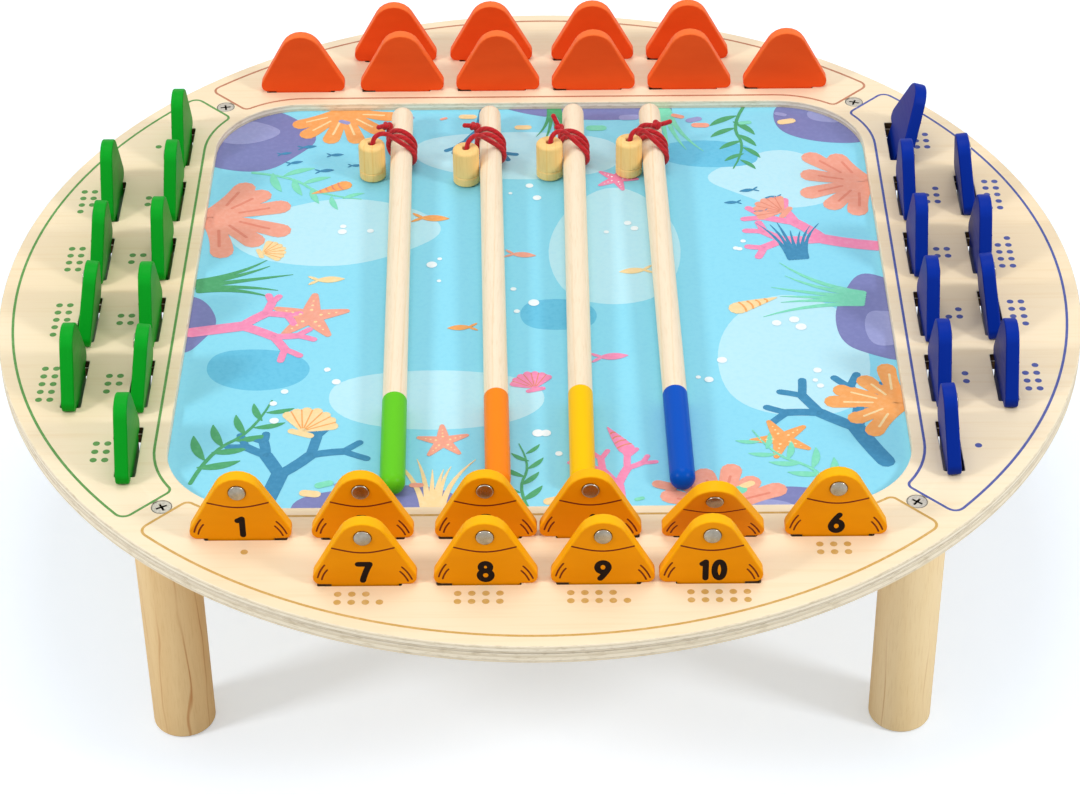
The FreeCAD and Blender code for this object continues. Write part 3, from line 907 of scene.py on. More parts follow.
# %% [markdown]
# ## Border lines and counting dots
#
# Each side's playing field is bordered by one printed line in the side's colour, and
# beside each slot there are as many dots as the fish's number, in two rows that begin at
# the player's left. The border starts as one face, its corners are beveled, and an inset
# gives the line's width. The dots are plain circles that are given a film's thickness.

# %% Border lines
LINE_W, FILM = 1.2, 0.05
LINE_INNER_R, LINE_OUTER_R, LINE_END_GAP = POND_CORNER_R + 5, 244.0, 4.5
INNER_STEPS, OUTER_STEPS = 8, 60


def zone_corners():
    """The border of the front side as points: the inner line, then the outer arc back."""
    c = POND_W / 2 - POND_CORNER_R
    off = asin(LINE_END_GAP / LINE_INNER_R)
    far = asin(LINE_END_GAP / LINE_OUTER_R)
    inner, outer = [], []
    for i in range(INNER_STEPS + 1):
        a = radians(-90) + (radians(45) - off) * i / INNER_STEPS
        inner.append((c + LINE_INNER_R * cos(a), -c + LINE_INNER_R * sin(a)))
    for i in range(OUTER_STEPS + 1):
        a = radians(-45) - far - (radians(90) - 2 * far) * i / OUTER_STEPS
        outer.append((LINE_OUTER_R * cos(a), LINE_OUTER_R * sin(a)))
    return [(-x, y) for x, y in reversed(inner)] + inner, outer


def zone_print(name, bm, side):
    """Gives the front side's print its film and turns it to another side."""
    thicken(bm, (0, 0, FILM))
    bmesh.ops.rotate(bm, matrix=Matrix.Rotation(radians(SIDES[side]), 3, "Z"),
                     cent=(0, 0, 0), verts=bm.verts[:])
    bmesh.ops.recalc_face_normals(bm, faces=bm.faces[:])
    return finish_piece(f"{name}_{side}", bm, [ZONE_INK[side]], smooth=False)


def border_line(side):
    inner, outer = zone_corners()
    bm = bmesh.new()
    points = [bm.verts.new((x, y, TOP_Z)) for x, y in inner + outer]
    bm.faces.new(points)
    inner_ends = [points[0], points[len(inner) - 1]]
    outer_ends = [points[len(inner)], points[-1]]
    for ends, offset, segments in ((inner_ends, 3.2, 5), (outer_ends, 5.2, 6)):
        bmesh.ops.bevel(bm, geom=ends, offset=offset, segments=segments, profile=0.5,
                        affect="VERTICES", material=-1)
    bmesh.ops.recalc_face_normals(bm, faces=bm.faces[:])
    field = bm.faces[:][0]
    bmesh.ops.inset_region(bm, faces=[field], thickness=LINE_W, use_boundary=True,
                           use_even_offset=True)
    bmesh.ops.delete(bm, geom=[field], context="FACES")
    return zone_print("border_line", bm, side)


for side in SIDES:
    print(side, "border faces:", len(border_line(side).data.polygons))

# %% Counting dots
DOT_R, DOT_PITCH, DOT_ROWS = 1.55, 5.75, (9.8, 14.8)


def counting_dots(side):
    bm = bmesh.new()
    for number, x, row in SEATS:
        near, far = DOT_ROWS
        longer = ceil(number / 2)
        places = [(i, far) for i in range(longer)] + [(i, near) for i in range(number // 2)]
        if number <= 2:
            longer = number
            places = [(i, (near + far) / 2) for i in range(number)]
        for i, out in places:
            at = Vector((x + (i - (longer - 1) / 2) * DOT_PITCH, -row - out, TOP_Z))
            bmesh.ops.create_circle(bm, cap_ends=True, segments=18, radius=DOT_R,
                                    matrix=Matrix.Translation(at))
    return zone_print("counting_dots", bm, side)


for side in SIDES:
    counting_dots(side)
print("dots on each side:", sum(number for number, _, _ in SEATS))

# %% [markdown]
# ## Fish
#
# A fish is cut from 6 mm board: a domed head, flanks that flare into fins, and a tail that
# hangs in the slot. Its edges are sanded round before painting. The outline is drawn with
# true arcs, filled, given its thickness and beveled. The pocket for the steel disc is let
# in afterwards, so that the bevel doesn't run into it.

# %% Fish body
FISH_T, FISH_HEAD, FISH_W, WAIST_W, WAIST_Z, FIN_Z = 6.0, 32.3, 42.6, 28.7, 17.6, 4.8
FLANK_SLOPE, FIN_ROUND, FIN_FOOT_ROUND, WAIST_ROUND = 1.81, 5.0, 3.2, 14.5
TAIL_W, TAIL_TIP_W, TAIL_L, TAIL_ROUND = 28.0, 24.5, 14.0, 3.0
DISC_D, DISC_T, DISC_Z, DISC_PROUD, DISC_CLEARANCE = 7.3, 1.6, 24.9, 0.7, 0.2
SANDED = 0.8
FACE_Y = -FISH_T / 2


def fish_corners():
    waist = WAIST_W / 2
    peak = WAIST_Z + waist * FLANK_SLOPE
    head_r = (peak - FISH_HEAD) / (1 / sin(atan2(1, FLANK_SLOPE)) - 1)
    half = [(TAIL_TIP_W / 2, -TAIL_L, TAIL_ROUND), (TAIL_W / 2, 0, 0),
            (FISH_W / 2, 0, FIN_FOOT_ROUND), (FISH_W / 2, FIN_Z, FIN_ROUND),
            (waist, WAIST_Z, WAIST_ROUND)]
    return half + [(0, peak, head_r)] + [(-x, z, r) for x, z, r in reversed(half)]


def fish_body():
    bm = bmesh.new()
    outline = rounded_outline(bm, fish_corners())
    bmesh.ops.contextual_create(bm, geom=outline)
    bmesh.ops.translate(bm, vec=(0, FACE_Y, 0), verts=bm.verts[:])
    thicken(bm, (0, FISH_T, 0))
    bmesh.ops.recalc_face_normals(bm, faces=bm.faces[:])
    rims = [e for e in bm.edges if abs(e.verts[0].co.y - e.verts[1].co.y) < 1e-6]
    bmesh.ops.bevel(bm, geom=rims, offset=SANDED, segments=3, profile=0.5,
                    affect="EDGES", clamp_overlap=True, material=-1)
    front = max((f for f in bm.faces if f.normal.y < -0.9), key=lambda f: f.calc_area())
    around = front.edges[:]
    bmesh.ops.delete(bm, geom=[front], context="FACES_ONLY")
    turn = Matrix.Translation((0, FACE_Y, DISC_Z)) @ Matrix.Rotation(radians(90), 4, "X")
    ring = bmesh.ops.create_circle(bm, segments=28, radius=DISC_D / 2 + DISC_CLEARANCE,
                                   matrix=turn)
    mouth = list({e for v in ring["verts"] for e in v.link_edges})
    bmesh.ops.triangle_fill(bm, edges=around + mouth, use_beauty=True)
    wall = bmesh.ops.extrude_edge_only(bm, edges=mouth)
    bottom = [e for e in wall["geom"] if isinstance(e, bmesh.types.BMEdge)
              and all(v not in ring["verts"] for v in e.verts)]
    bmesh.ops.translate(bm, vec=(0, DISC_T - DISC_PROUD, 0),
                        verts=list({v for e in bottom for v in e.verts}))
    bmesh.ops.contextual_create(bm, geom=bottom)
    bmesh.ops.recalc_face_normals(bm, faces=bm.faces[:])
    return bm


body = fish_body()
print("fish faces:", len(body.faces), "edges not closed:",
      sum(1 for e in body.edges if len(e.link_faces) != 2))

# %% [markdown]
# ## Numbers and markings
#
# The outer face of each fish carries its number, a gill line under the disc and two short
# strokes on each fin. The figures are bold and round-ended, so they are written with the
# same pressed strokes as the rest of the print, a few points for each figure.

# %% Figures
def oval(z, across, up):
    """Control points of a closed stroke that runs round as an oval."""
    return [(1.08 * across * cos(radians(a)), z + 1.08 * up * sin(radians(a)))
            for a in range(0, 360, 45)]


FIGURES = {
    "0": [(oval(0.5, 1.0, 0.5), True)],
    "1": [([(-0.3, 0.88), (0.1, 0.93), (0.42, 1.0)], False), ([(0.42, 1.0), (0.42, 0)], False)],
    "2": [([(-0.85, 0.78), (-0.8, 1.04), (0.1, 1.04), (0.95, 0.98), (0.95, 0.6), (0.1, 0.32),
            (-0.9, 0.0)], False), ([(-0.9, 0.0), (0.95, 0.0)], False)],
    "3": [([(-0.8, 0.88), (-0.55, 1.04), (0.2, 1.06), (0.9, 0.98), (0.85, 0.58), (-0.1, 0.54)],
           False),
          ([(-0.1, 0.54), (1.0, 0.5), (1.05, 0.04), (0.2, -0.06), (-0.6, -0.04), (-0.9, 0.14)],
           False)],
    "4": [([(0.4, 1.0), (-0.95, 0.28)], False), ([(-0.95, 0.28), (1.0, 0.28)], False),
          ([(0.4, 1.0), (0.4, 0.0)], False)],
    "5": [([(0.8, 1.0), (-0.65, 1.0)], False), ([(-0.65, 1.0), (-0.78, 0.56)], False),
          ([(-0.78, 0.56), (-0.1, 0.68), (1.0, 0.66), (1.0, 0.04), (0.1, -0.06), (-0.6, -0.02),
            (-0.9, 0.12)], False)],
    "6": [([(0.42, 0.98), (-0.3, 0.72), (-0.82, 0.4)], False), (oval(0.29, 0.88, 0.29), True)],
    "7": [([(-0.95, 1.0), (0.9, 1.0)], False), ([(0.9, 1.0), (0.1, 0.5), (-0.3, 0.0)], False)],
    "8": [(oval(0.77, 0.74, 0.23), True), (oval(0.27, 0.92, 0.28), True)],
}
FIGURES["9"] = [([(-x, 1 - z) for x, z in points], closed) for points, closed in FIGURES["6"]]
FIGURE_FOOT, FIGURE_H, FIGURE_HALF_W, FIGURE_STROKE = 2.35, 8.7, 2.6, 2.6
FIGURE_PITCH, NARROW, FINE_STROKE, INK_STEP = 6.4, 0.75, 0.75, 0.004
GILL_LINE = [(-12.6, 19.7), (-6.0, 17.7), (0, 17.0), (6.0, 17.7), (12.6, 19.7)]
FIN_STROKES = [
    [(-16.1, 10.7), (-18.2, 8.0), (-19.2, 4.1)], [(-15.1, 8.1), (-16.9, 6.0), (-17.6, 3.0)],
    [(15.4, 9.4), (17.9, 6.8), (19.3, 2.9)], [(14.6, 7.0), (16.6, 4.9), (17.7, 1.9)],
]
ON_FACE = Matrix.Translation((0, FACE_Y, 0)) @ Matrix.Rotation(radians(90), 4, "X")


def figure_strokes(text):
    """(points, closed) of a number's strokes, centred on the fish."""
    narrow = 1.0 if len(text) == 1 else NARROW
    found = []
    for i, figure in enumerate(text):
        middle = (i - (len(text) - 1) / 2) * FIGURE_PITCH
        for points, closed in FIGURES[figure]:
            found.append(([(middle + x * FIGURE_HALF_W * narrow, FIGURE_FOOT + z * FIGURE_H)
                           for x, z in points], closed))
    return found


def printed_fish(number):
    bm = body.copy()
    for i, (points, closed) in enumerate(figure_strokes(str(number))):
        over = Matrix.Translation((0, -INK_STEP * i, 0))
        join(bm, stroke(points, FIGURE_STROKE, closed), over @ ON_FACE, 1)
    for points in [GILL_LINE] + FIN_STROKES:
        join(bm, stroke(points, FINE_STROKE, fine=3), ON_FACE, 2)
    return bm


print("strokes of fish 10:", len(figure_strokes("10")) + 1 + len(FIN_STROKES))

# %% [markdown]
# ## Seating the fish
#
# A fish has a little play in its slot: each has slid some way along it, and some have
# tipped. Two of them lean outwards until the tail met both walls of its slot, which gives
# the tilt from the slot's width and depth; others lean inwards by a share of that. The
# slides and the shares were read off the picture.

# %% Seats
SLIDES = {
    "yellow": (-2.0, 0.0, 2.4, -3.0, -1.0, 1.3, 2.3, 2.8, 1.7, -3.0),
    "blue": (-1.1, -3.0, -3.1, -0.8, -2.8, -1.1, -3.1, -1.7, -2.5, 1.5),
    "red": (-3.1, -3.1, -3.0, -3.1, -3.1, -1.3, -3.1, -2.9, 0.7, 1.4),
    "green": (0.5, -1.8, -1.4, 3.0, 2.5, 3.1, -2.5, 1.8, 2.3, 1.0),
}
STANDS = {"yellow": 1.0, "blue": 0.0, "red": -1.2, "green": 0.0}
LEANS = {
    ("yellow", 5): 1.0, ("blue", 6): 1.0, ("blue", 1): -0.3, ("blue", 5): -0.2,
    ("blue", 8): -0.5, ("blue", 10): -0.45, ("green", 2): -0.15, ("green", 5): -0.4,
    ("green", 8): -0.3, ("green", 9): -0.5,
}
LEAN_CLEARANCE = 0.15


def seat_matrix(side, number, x, row):
    """From a fish upright at the origin to its seat."""
    move = Matrix.Translation((x + SLIDES[side][number - 1], -row, TOP_Z))
    share = LEANS.get((side, number), 0)
    if share:
        gap, deep = SLOT_W - 2 * LEAN_CLEARANCE, TOP_Z - BASE_Z
        lean = acos(FISH_T / hypot(gap, deep)) - atan2(deep, gap)
        heel = Vector((0, copysign(FISH_T / 2, -share), 0))
        to_wall = (SLOT_W - FISH_T) / 2 - LEAN_CLEARANCE
        move = (move @ Matrix.Translation(heel - Vector((0, to_wall * share, 0)))
                @ Matrix.Rotation(lean * share, 4, "X") @ Matrix.Translation(-heel))
    else:
        move = move @ Matrix.Translation((0, -STANDS[side], 0))
    return Matrix.Rotation(radians(SIDES[side]), 4, "Z") @ move


DISC_FACE = Matrix.Translation((0, -DISC_PROUD, DISC_Z)) @ ON_FACE
DISC_PROFILE = [(0, -DISC_T), (DISC_D / 2, -DISC_T), (DISC_D / 2, -0.45),
                (DISC_D / 2 - 0.15, -0.18), (DISC_D / 2 - 0.5, 0), (0, 0)]
discs = bmesh.new()
fish_faces = 0
for number, x, row in SEATS:
    printed = printed_fish(number)
    for side in SIDES:
        place = seat_matrix(side, number, x, row)
        one = printed.copy()
        bmesh.ops.transform(one, matrix=place, verts=one.verts[:])
        obj = finish_piece(f"painted_fish_{side}_{number}", one,
                           [FISH_PAINT[side], NUMBER_INK, LINE_INK],
                           [f"fish_{side}_{number}"], angle=32)
        fish_faces += len(obj.data.polygons)
        disc = bmesh.new()
        turned(disc, DISC_PROFILE, 28)
        join(discs, disc, place @ DISC_FACE)
    printed.free()
body.free()
finish_piece("steel_discs", discs, [DISC_STEEL], ["fish_discs"])
print("fish:", 4 * len(SEATS), "faces in all:", fish_faces)

# %% [markdown]
# ## Rods
#
# A rod is a dowel with round ends whose handle was dipped in paint. The dip leaves a film
# with a soft rolled lip where it stops. The profile is turned in one go, with the lip as a
# small step, and the faces behind the lip get the paint.

# %% Rods
DIP_LIP = 0.12


def turned_rod(name, place):
    r = ROD_D / 2
    dip = place["dip"]
    wide = r + DIP_LIP
    profile = [(wide * cos(radians(a)), r - wide * sin(radians(a))) for a in range(90, -1, -10)]
    profile[0] = (0, profile[0][1])
    profile += [(wide, dip * 0.5), (wide, dip - 0.6), (wide - 0.05, dip - 0.2), (r, dip)]
    profile += [(r, ROD_L * share) for share in (0.35, 0.5, 0.65, 0.8)]
    profile += [(r * cos(radians(a)), ROD_L - r + r * sin(radians(a))) for a in range(0, 91, 10)]
    profile[-1] = (0, ROD_L)
    bm = bmesh.new()
    turned(bm, profile, 40)
    for face in bm.faces:
        face.material_index = int(face.calc_center_median().z < dip)
    bmesh.ops.transform(bm, matrix=rod_matrix(place) @ Matrix.Rotation(radians(-90), 4, "X"),
                        verts=bm.verts[:])
    return finish_piece(f"dowel_rod_{name}", bm, [ROD_WOOD, HANDLE_PAINT[name]],
                        [f"rod_{name}"], angle=60)


for name, place in RODS.items():
    turned_rod(name, place)
print("rods:", len(RODS))

# %% [markdown]
# ## Bobbins
#
# A bobbin is turned from light wood: a rounded top, a fine line cut near the foot where
# the magnet sits, and a hole down the middle for the cord. The whole section is one closed
# profile, so one spin gives the outside, the hole and the pocket for the magnet.

# %% Bobbins
BOBBIN_ROUND, GROOVE_Z, GROOVE_DEPTH = 1.8, 4.6, 0.4
POCKET_R, POCKET_L = 5.1, 3.0
for name, place in RODS.items():
    r = BOBBIN_D / 2
    hole = BOBBIN_HOLE_D / 2
    profile = [(hole, POCKET_L), (POCKET_R, POCKET_L), (POCKET_R, 0), (r - 0.5, 0), (r, 0.5)]
    profile += [(r, GROOVE_Z - 0.6), (r - 0.1, GROOVE_Z - 0.35), (r - GROOVE_DEPTH, GROOVE_Z),
                (r - 0.1, GROOVE_Z + 0.35), (r, GROOVE_Z + 0.6)]
    profile += quarter(r - BOBBIN_ROUND, BOBBIN_L - BOBBIN_ROUND, BOBBIN_ROUND, 0, 90)
    profile += [(hole + 0.4, BOBBIN_L), (hole, BOBBIN_L - 0.4)]
    bm = bmesh.new()
    turned(bm, profile, 48, closed=True)
    bmesh.ops.translate(bm, vec=bobbin_spot(place) + Vector((0, 0, MAGNET_PROUD)),
                        verts=bm.verts[:])
    finish_piece(f"turned_bobbin_{name}", bm, [BOBBIN_WOOD], [f"bobbin_{name}"])
print("bobbins:", len(RODS))

# %% [markdown]
# ## Knots
#
# The cord is tied round the rod with an overhand knot, drawn tight. A knot is a closed
# little tangle, so it is a short curve of its own, wound twice through itself and turned
# into a mesh. The cord's last piece comes out of it and ends in a sealed, rounded tip.

# %% Knots
KNOT_POINTS, KNOT_R, KNOT_H, DRAWN_TIGHT = 18, 0.62, 0.95, 0.95
KNOT_LIFT, TIP_SWELL = 0.3, 1.03


def knot_mesh(centre, way):
    """A tight overhand knot about centre, its strands leaning along way."""
    points = []
    for i in range(KNOT_POINTS):
        a = 2 * pi * i / KNOT_POINTS
        points.append(((sin(a) + 2 * sin(2 * a)) * KNOT_R,
                       (cos(a) - 2 * cos(2 * a)) * KNOT_R, -sin(3 * a) * KNOT_H))
    bm = curve_bmesh(nurbs("knot", points, True, 3, bevel_depth=CORD_D / 2 * DRAWN_TIGHT,
                           bevel_resolution=3))
    turn = Vector(way).to_track_quat("X", "Z").to_matrix().to_4x4()
    bmesh.ops.transform(bm, matrix=Matrix.Translation(centre) @ turn, verts=bm.verts[:])
    return bm


for name, place in RODS.items():
    route = cord_route(place)
    centre = route[-5] + Vector((0, 0, KNOT_LIFT))
    bm = knot_mesh(centre, place["cord_end"][2])
    bmesh.ops.create_uvsphere(bm, u_segments=12, v_segments=8, radius=CORD_D / 2 * TIP_SWELL,
                              matrix=Matrix.Translation(route[-1]))
    bmesh.ops.recalc_face_normals(bm, faces=bm.faces[:])
    knot = finish_piece(f"knot_{name}", bm, [RED_COTTON])
    cord = cords[name]
    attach(cord, "root")
    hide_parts("cord_windings", "cord_leads")
    bare_line = cord.data.copy()
    bare_line.bevel_depth = 0
    thin = curve_bmesh(bare_line)
    thin.free()

# %% [markdown]
# ## The printed sea
#
# The pond's floor is printed with a simple sea: pale water with lighter shoals, lilac
# rocks along the edges, branching and fan corals, kelp, starfish, shells, plain small fish
# and bubbles. It is a design of its own, made of plain fields of colour. Each colour is
# one piece. What lies in front is printed on a slightly higher film.

# %% Sea colours
SEA_INK = {
    "water": ("#90DDF3", "#8AD9F1"), "shoal": ("#BDEBF7", "#B6E8F6"),
    "deep": ("#6CC6E6", "#62BEE0"), "rock": ("#7D82B8", "#8489BE"),
    "rock_light": ("#9A9FD0", "#A2A7D6"), "salmon": ("#F2A48D", "#F5B09B"),
    "salmon_dark": ("#E58A74", "#E99580"), "pink": ("#F58FB8", "#F7A0C3"),
    "blue": ("#3F8AB4", "#4A95BE"), "mint": ("#7FDDBB", "#8DE3C5"),
    "leaf": ("#4FA36E", "#5BAE7A"), "cream": ("#F8D9A0", "#FAE1B2"),
    "orange": ("#F5A860", "#F7B474"), "foam": ("#F4FCFE", "#E8F7FB"),
}
SEA = {name: ink(f"printed_ink_{name}", *pair, gloss=0.5) for name, pair in SEA_INK.items()}
PRINT_Z, LAYER, HAIR = POND_Z + FILM, 0.05, 0.0002
PATCH_HALF = 0.01
HALF_POND = POND_W / 2
film_height = {}
sheets = {name: bmesh.new() for name in SEA}


def put(colour, part, at):
    """Adds a flat part to a colour at (x, y, turn, layer), a hair above the part before."""
    x, y, turn, layer = at
    z = film_height[layer] = film_height.get(layer, PRINT_Z + LAYER * layer) + HAIR
    join(sheets[colour], part,
         Matrix.Translation((x, y, z)) @ Matrix.Rotation(radians(turn), 4, "Z"))


def draw(colour, points, width, at, over=0, **how):
    """Puts a stroke at (x, y, turn, layer), or some layers over it."""
    put(colour, stroke(points, width, **how), (*at[:3], at[3] + over))


def patch(reach_x, reach_y, seed, lobes, rough):
    """A soft-edged field of colour: a closed smooth curve, filled."""
    pick = random.Random(seed)
    points = []
    for i in range(lobes):
        a = 2 * pi * i / lobes
        r = 1 + pick.uniform(-rough, rough)
        points.append((reach_x * r * cos(a), reach_y * r * sin(a), 0))
    return curve_bmesh(nurbs("patch", points, True, 6, dimensions="2D", fill_mode="BOTH",
                             extrude=PATCH_HALF))


water = bmesh.new()
made = bmesh.ops.create_grid(water, x_segments=1, y_segments=1, size=HALF_POND)
bmesh.ops.bevel(water, geom=made["verts"], offset=POND_CORNER_R, segments=20, profile=0.5,
                affect="VERTICES", material=-1)
bmesh.ops.translate(water, vec=(0, 0, POND_Z), verts=water.verts[:])
thicken(water, (0, 0, FILM))
bmesh.ops.recalc_face_normals(water, faces=water.faces[:])
print("sea colours:", len(SEA), "water faces:", len(water.faces))
finish_piece("printed_water", water, [SEA["water"]], smooth=False)

# %% Shoals and rocks
for colour, layer, seed, lobes, rough, fields in (
        ("shoal", 0, 10, 8, 0.18, ((-96, 52, 52, 30), (36, 34, 34, 52), (112, -52, 40, 50),
                                   (-46, -84, 56, 24), (-10, 118, 60, 22),
                                   (120, 96, 36, 26))),
        ("deep", 0, 30, 8, 0.15, ((-128, -58, 26, 18), (84, 118, 30, 14), (10, -18, 20, 14))),
        ("rock", 1, 50, 10, 0.16, ((-148, 134, 38, 30), (158, -20, 22, 34),
                                   (-62, -164, 46, 22), (152, 150, 34, 22),
                                   (104, -166, 42, 22), (26, 166, 46, 16),
                                   (-164, -24, 14, 24))),
        ("rock_light", 2, 70, 8, 0.2, ((-152, 142, 20, 12), (160, -30, 10, 16),
                                       (-78, -162, 18, 9), (96, -162, 16, 9),
                                       (150, 156, 16, 9)))):
    for i, (x, y, reach_x, reach_y) in enumerate(fields):
        put(colour, patch(reach_x, reach_y, seed + i, lobes, rough), (x, y, 0, layer))
print("rocks placed")

# %% [markdown]
# ### Corals
#
# Corals are built from strokes. A branching coral splits in two a few times, each branch
# thinner than the last. A fan coral is a hand of thick fingers with a vein in each. Every
# coral has its own seed, so one can be moved or left out and the others stay the same.

# %% Corals


def branch(x, y, heading, length, width, splits, pick):
    """Strokes of a branching coral as (points, width)."""
    bend = pick.uniform(-14, 14)
    a, b = radians(heading), radians(heading + bend)
    mid = (x + length / 2 * cos(a), y + length / 2 * sin(a))
    tip = (mid[0] + length / 2 * cos(b), mid[1] + length / 2 * sin(b))
    found = [([(x, y), mid, tip], width)]
    if splits:
        for way in (-1, 1):
            found += branch(*tip, heading + bend + way * pick.uniform(22, 42),
                            length * pick.uniform(0.6, 0.8), width * 0.78, splits - 1, pick)
    return found


def branching_coral(colour, at, size, seed):
    pick = random.Random(seed)
    for points, width in branch(0, 0, 0, size * 0.42, size * 0.13, 3, pick):
        draw(colour, points, width, at, fine=2)


def fan_coral(colour, shade, at, size, seed):
    pick = random.Random(seed)
    for i in range(6):
        a = radians(-62 + 124 * i / 5 + pick.uniform(-5, 5))
        reach = size * pick.uniform(0.75, 1.0) * (1 - 0.2 * abs(i - 2.5) / 2.5)
        points = [(0, 0), (reach * 0.55 * cos(a * 0.8), reach * 0.55 * sin(a * 0.8)),
                  (reach * cos(a), reach * sin(a))]
        draw(colour, points, size * 0.26, at, swell=[0.5, 0.85, 1.0])
        vein = [(px * 0.86, py * 0.86) for px, py in points[1:]]
        draw(shade, vein, size * 0.035, at, 1, fine=2)


for colour, at, size, seed in (
        ("blue", (150, -128, 118, 2), 62, 3), ("blue", (-118, -158, 74, 2), 58, 5),
        ("blue", (-28, 160, -96, 2), 44, 9), ("pink", (-160, -30, 12, 3), 56, 12),
        ("pink", (161, 36, 172, 2), 62, 14), ("pink", (34, -160, 84, 2), 40, 15)):
    branching_coral(colour, at, size, seed)
for colour, shade, at, size, seed in (
        ("salmon", "salmon_dark", (-163, 66, -4, 2), 44, 21),
        ("salmon", "salmon_dark", (163, 92, 184, 2), 40, 22),
        ("salmon", "salmon_dark", (78, -163, 92, 2), 36, 23),
        ("orange", "cream", (-100, 164, -84, 2), 34, 24),
        ("orange", "cream", (163, -88, 168, 2), 34, 25)):
    fan_coral(colour, shade, at, size, seed)
print("coral faces:", len(sheets["pink"].faces) + len(sheets["salmon"].faces))

# %% [markdown]
# ### Kelp and grass
#
# Kelp is a swaying stem with leaves that swell and taper, set left and right by turns.
# Grass is a tuft of bent blades. Both begin at the pond's edge and reach inwards, as plants
# in a border do.

# %% Kelp and grass


def kelp(colour, at, tall, leaves, sway):
    stem = [(0, 0), (tall * 0.33, sway), (tall * 0.66, -sway), (tall, 0)]
    draw(colour, stem, tall * 0.03, at, swell=[1, 1, 0.8, 0.4])
    for i in range(leaves):
        t = 0.16 + 0.8 * i / leaves
        x, y = tall * t, sway * sin(2 * pi * t) * 0.75
        reach = tall * 0.3 * (1 - 0.45 * t)
        a = radians(48 * (1 if i % 2 else -1))
        leaf = [(x, y), (x + reach * 0.5 * cos(a * 1.3), y + reach * 0.5 * sin(a * 1.3)),
                (x + reach * cos(a), y + reach * sin(a))]
        draw(colour, leaf, reach * 0.46, at, swell=[0.12, 1.0, 0.08])


def grass(colour, at, tall, blades, seed):
    pick = random.Random(seed)
    for i in range(blades):
        lean = (i - (blades - 1) / 2) / blades * 1.5 + pick.uniform(-0.1, 0.1)
        reach = tall * pick.uniform(0.65, 1.0)
        points = [(0, (i - blades / 2) * tall * 0.04), (reach * 0.55, lean * reach * 0.25),
                  (reach, lean * reach * 0.8)]
        draw(colour, points, tall * 0.07, at, swell=[1, 0.9, 0.12])


for colour, at, tall, leaves, sway in (
        ("leaf", (-150, -140, 62, 2), 66, 9, 5), ("leaf", (104, 162, -98, 2), 58, 8, -5),
        ("mint", (-142, 104, -24, 2), 60, 8, 5), ("leaf", (-4, -160, 96, 2), 46, 7, 4),
        ("mint", (128, -150, 128, 3), 56, 8, -5)):
    kelp(colour, at, tall, leaves, sway)
for colour, at, tall, blades, seed in (
        ("mint", (62, 160, -92, 2), 44, 6, 41), ("leaf", (-160, 8, 8, 2), 50, 5, 42),
        ("mint", (150, -8, 170, 2), 46, 6, 43), ("cream", (-46, -158, 88, 2), 40, 6, 44),
        ("blue", (122, 26, 96, 2), 34, 7, 45), ("leaf", (8, 161, -88, 2), 32, 5, 46)):
    grass(colour, at, tall, blades, seed)
print("weed placed")

# %% [markdown]
# ### Small things
#
# Starfish, scallop shells and cone shells lie in the open water between the rods. Each is
# a handful of strokes, so its edges stay crisp at any distance. Ribs and spots go on a
# layer of their own, over the shape that they mark.

# %% Starfish and shells


def starfish(colour, spots, at, reach):
    for i in range(5):
        a = 2 * pi * i / 5
        points = [(0, 0), (reach * 0.5 * cos(a), reach * 0.5 * sin(a)),
                  (reach * cos(a), reach * sin(a))]
        draw(colour, points, reach * 0.58, at, swell=[1, 0.78, 0.34])
        for t in (0.3, 0.52, 0.72):
            x, y = reach * t * cos(a), reach * t * sin(a)
            draw(spots, [(x - 0.1, y), (x + 0.1, y)], reach * 0.09 * (1.3 - t), at, 1, fine=1)


def scallop(colour, shade, at, reach):
    draw(colour, [(-0.12 * reach, -0.3 * reach), (-0.12 * reach, 0.3 * reach)], reach * 0.24,
         at)
    for i in range(7):
        a = radians(-54 + 18 * i)
        long = reach * (1 - 0.1 * abs(i - 3) / 3)
        x, y = long * cos(a), long * sin(a)
        draw(colour, [(0, 0), (x * 0.6, y * 0.6), (x, y)], reach * 0.34, at,
             swell=[0.3, 0.8, 1.0])
    for i in range(6):
        a = radians(-45 + 18 * i)
        draw(shade, [(reach * share * cos(a), reach * share * sin(a)) for share in (0.15, 1.02)],
             reach * 0.045, at, 1, fine=2)


def cone_shell(colour, shade, at, reach):
    draw(colour, [(0, 0), (reach * 0.4, 0.02 * reach), (reach, 0)], reach * 0.5, at,
         swell=[0.9, 0.7, 0.08])
    for i in range(4):
        t = 0.12 + 0.2 * i
        wide = reach * 0.22 * (1 - t)
        draw(shade, [(reach * t, -wide), (reach * (t + 0.07), 0), (reach * t, wide)],
             reach * 0.05, at, 1, fine=2)


for colour, spots, at, reach in (
        ("salmon", "cream", (-106, -18, 14, 2), 17), ("orange", "cream", (106, -112, 40, 2), 13),
        ("pink", "foam", (38, 96, 70, 2), 10), ("salmon", "cream", (-42, -112, 22, 2), 11)):
    starfish(colour, spots, at, reach)
for colour, shade, at, reach in (
        ("cream", "orange", (-104, -104, 68, 2), 15),
        ("pink", "salmon_dark", (-2, -74, 108, 2), 11),
        ("salmon", "salmon_dark", (118, 66, 150, 2), 13),
        ("cream", "orange", (-132, 34, 20, 2), 10)):
    scallop(colour, shade, at, reach)
for colour, shade, at, reach in (
        ("cream", "orange", (92, -14, 24, 2), 20),
        ("pink", "salmon_dark", (38, -118, 118, 2), 17),
        ("orange", "salmon_dark", (-96, 92, 205, 2), 17)):
    cone_shell(colour, shade, at, reach)
print("faces in cream so far:", len(sheets["cream"].faces))

# %% [markdown]
# ### Fish, bubbles and pebbles
#
# Small plain fish swim in two shoals and alone, bubbles rise in threes, and pebbles lie
# along the front and back edges. Bubbles and pebbles are placed by random numbers from a
# fixed seed, so the print is the same in every run.

# %% Fish, bubbles and pebbles
BUBBLE_T = 0.03


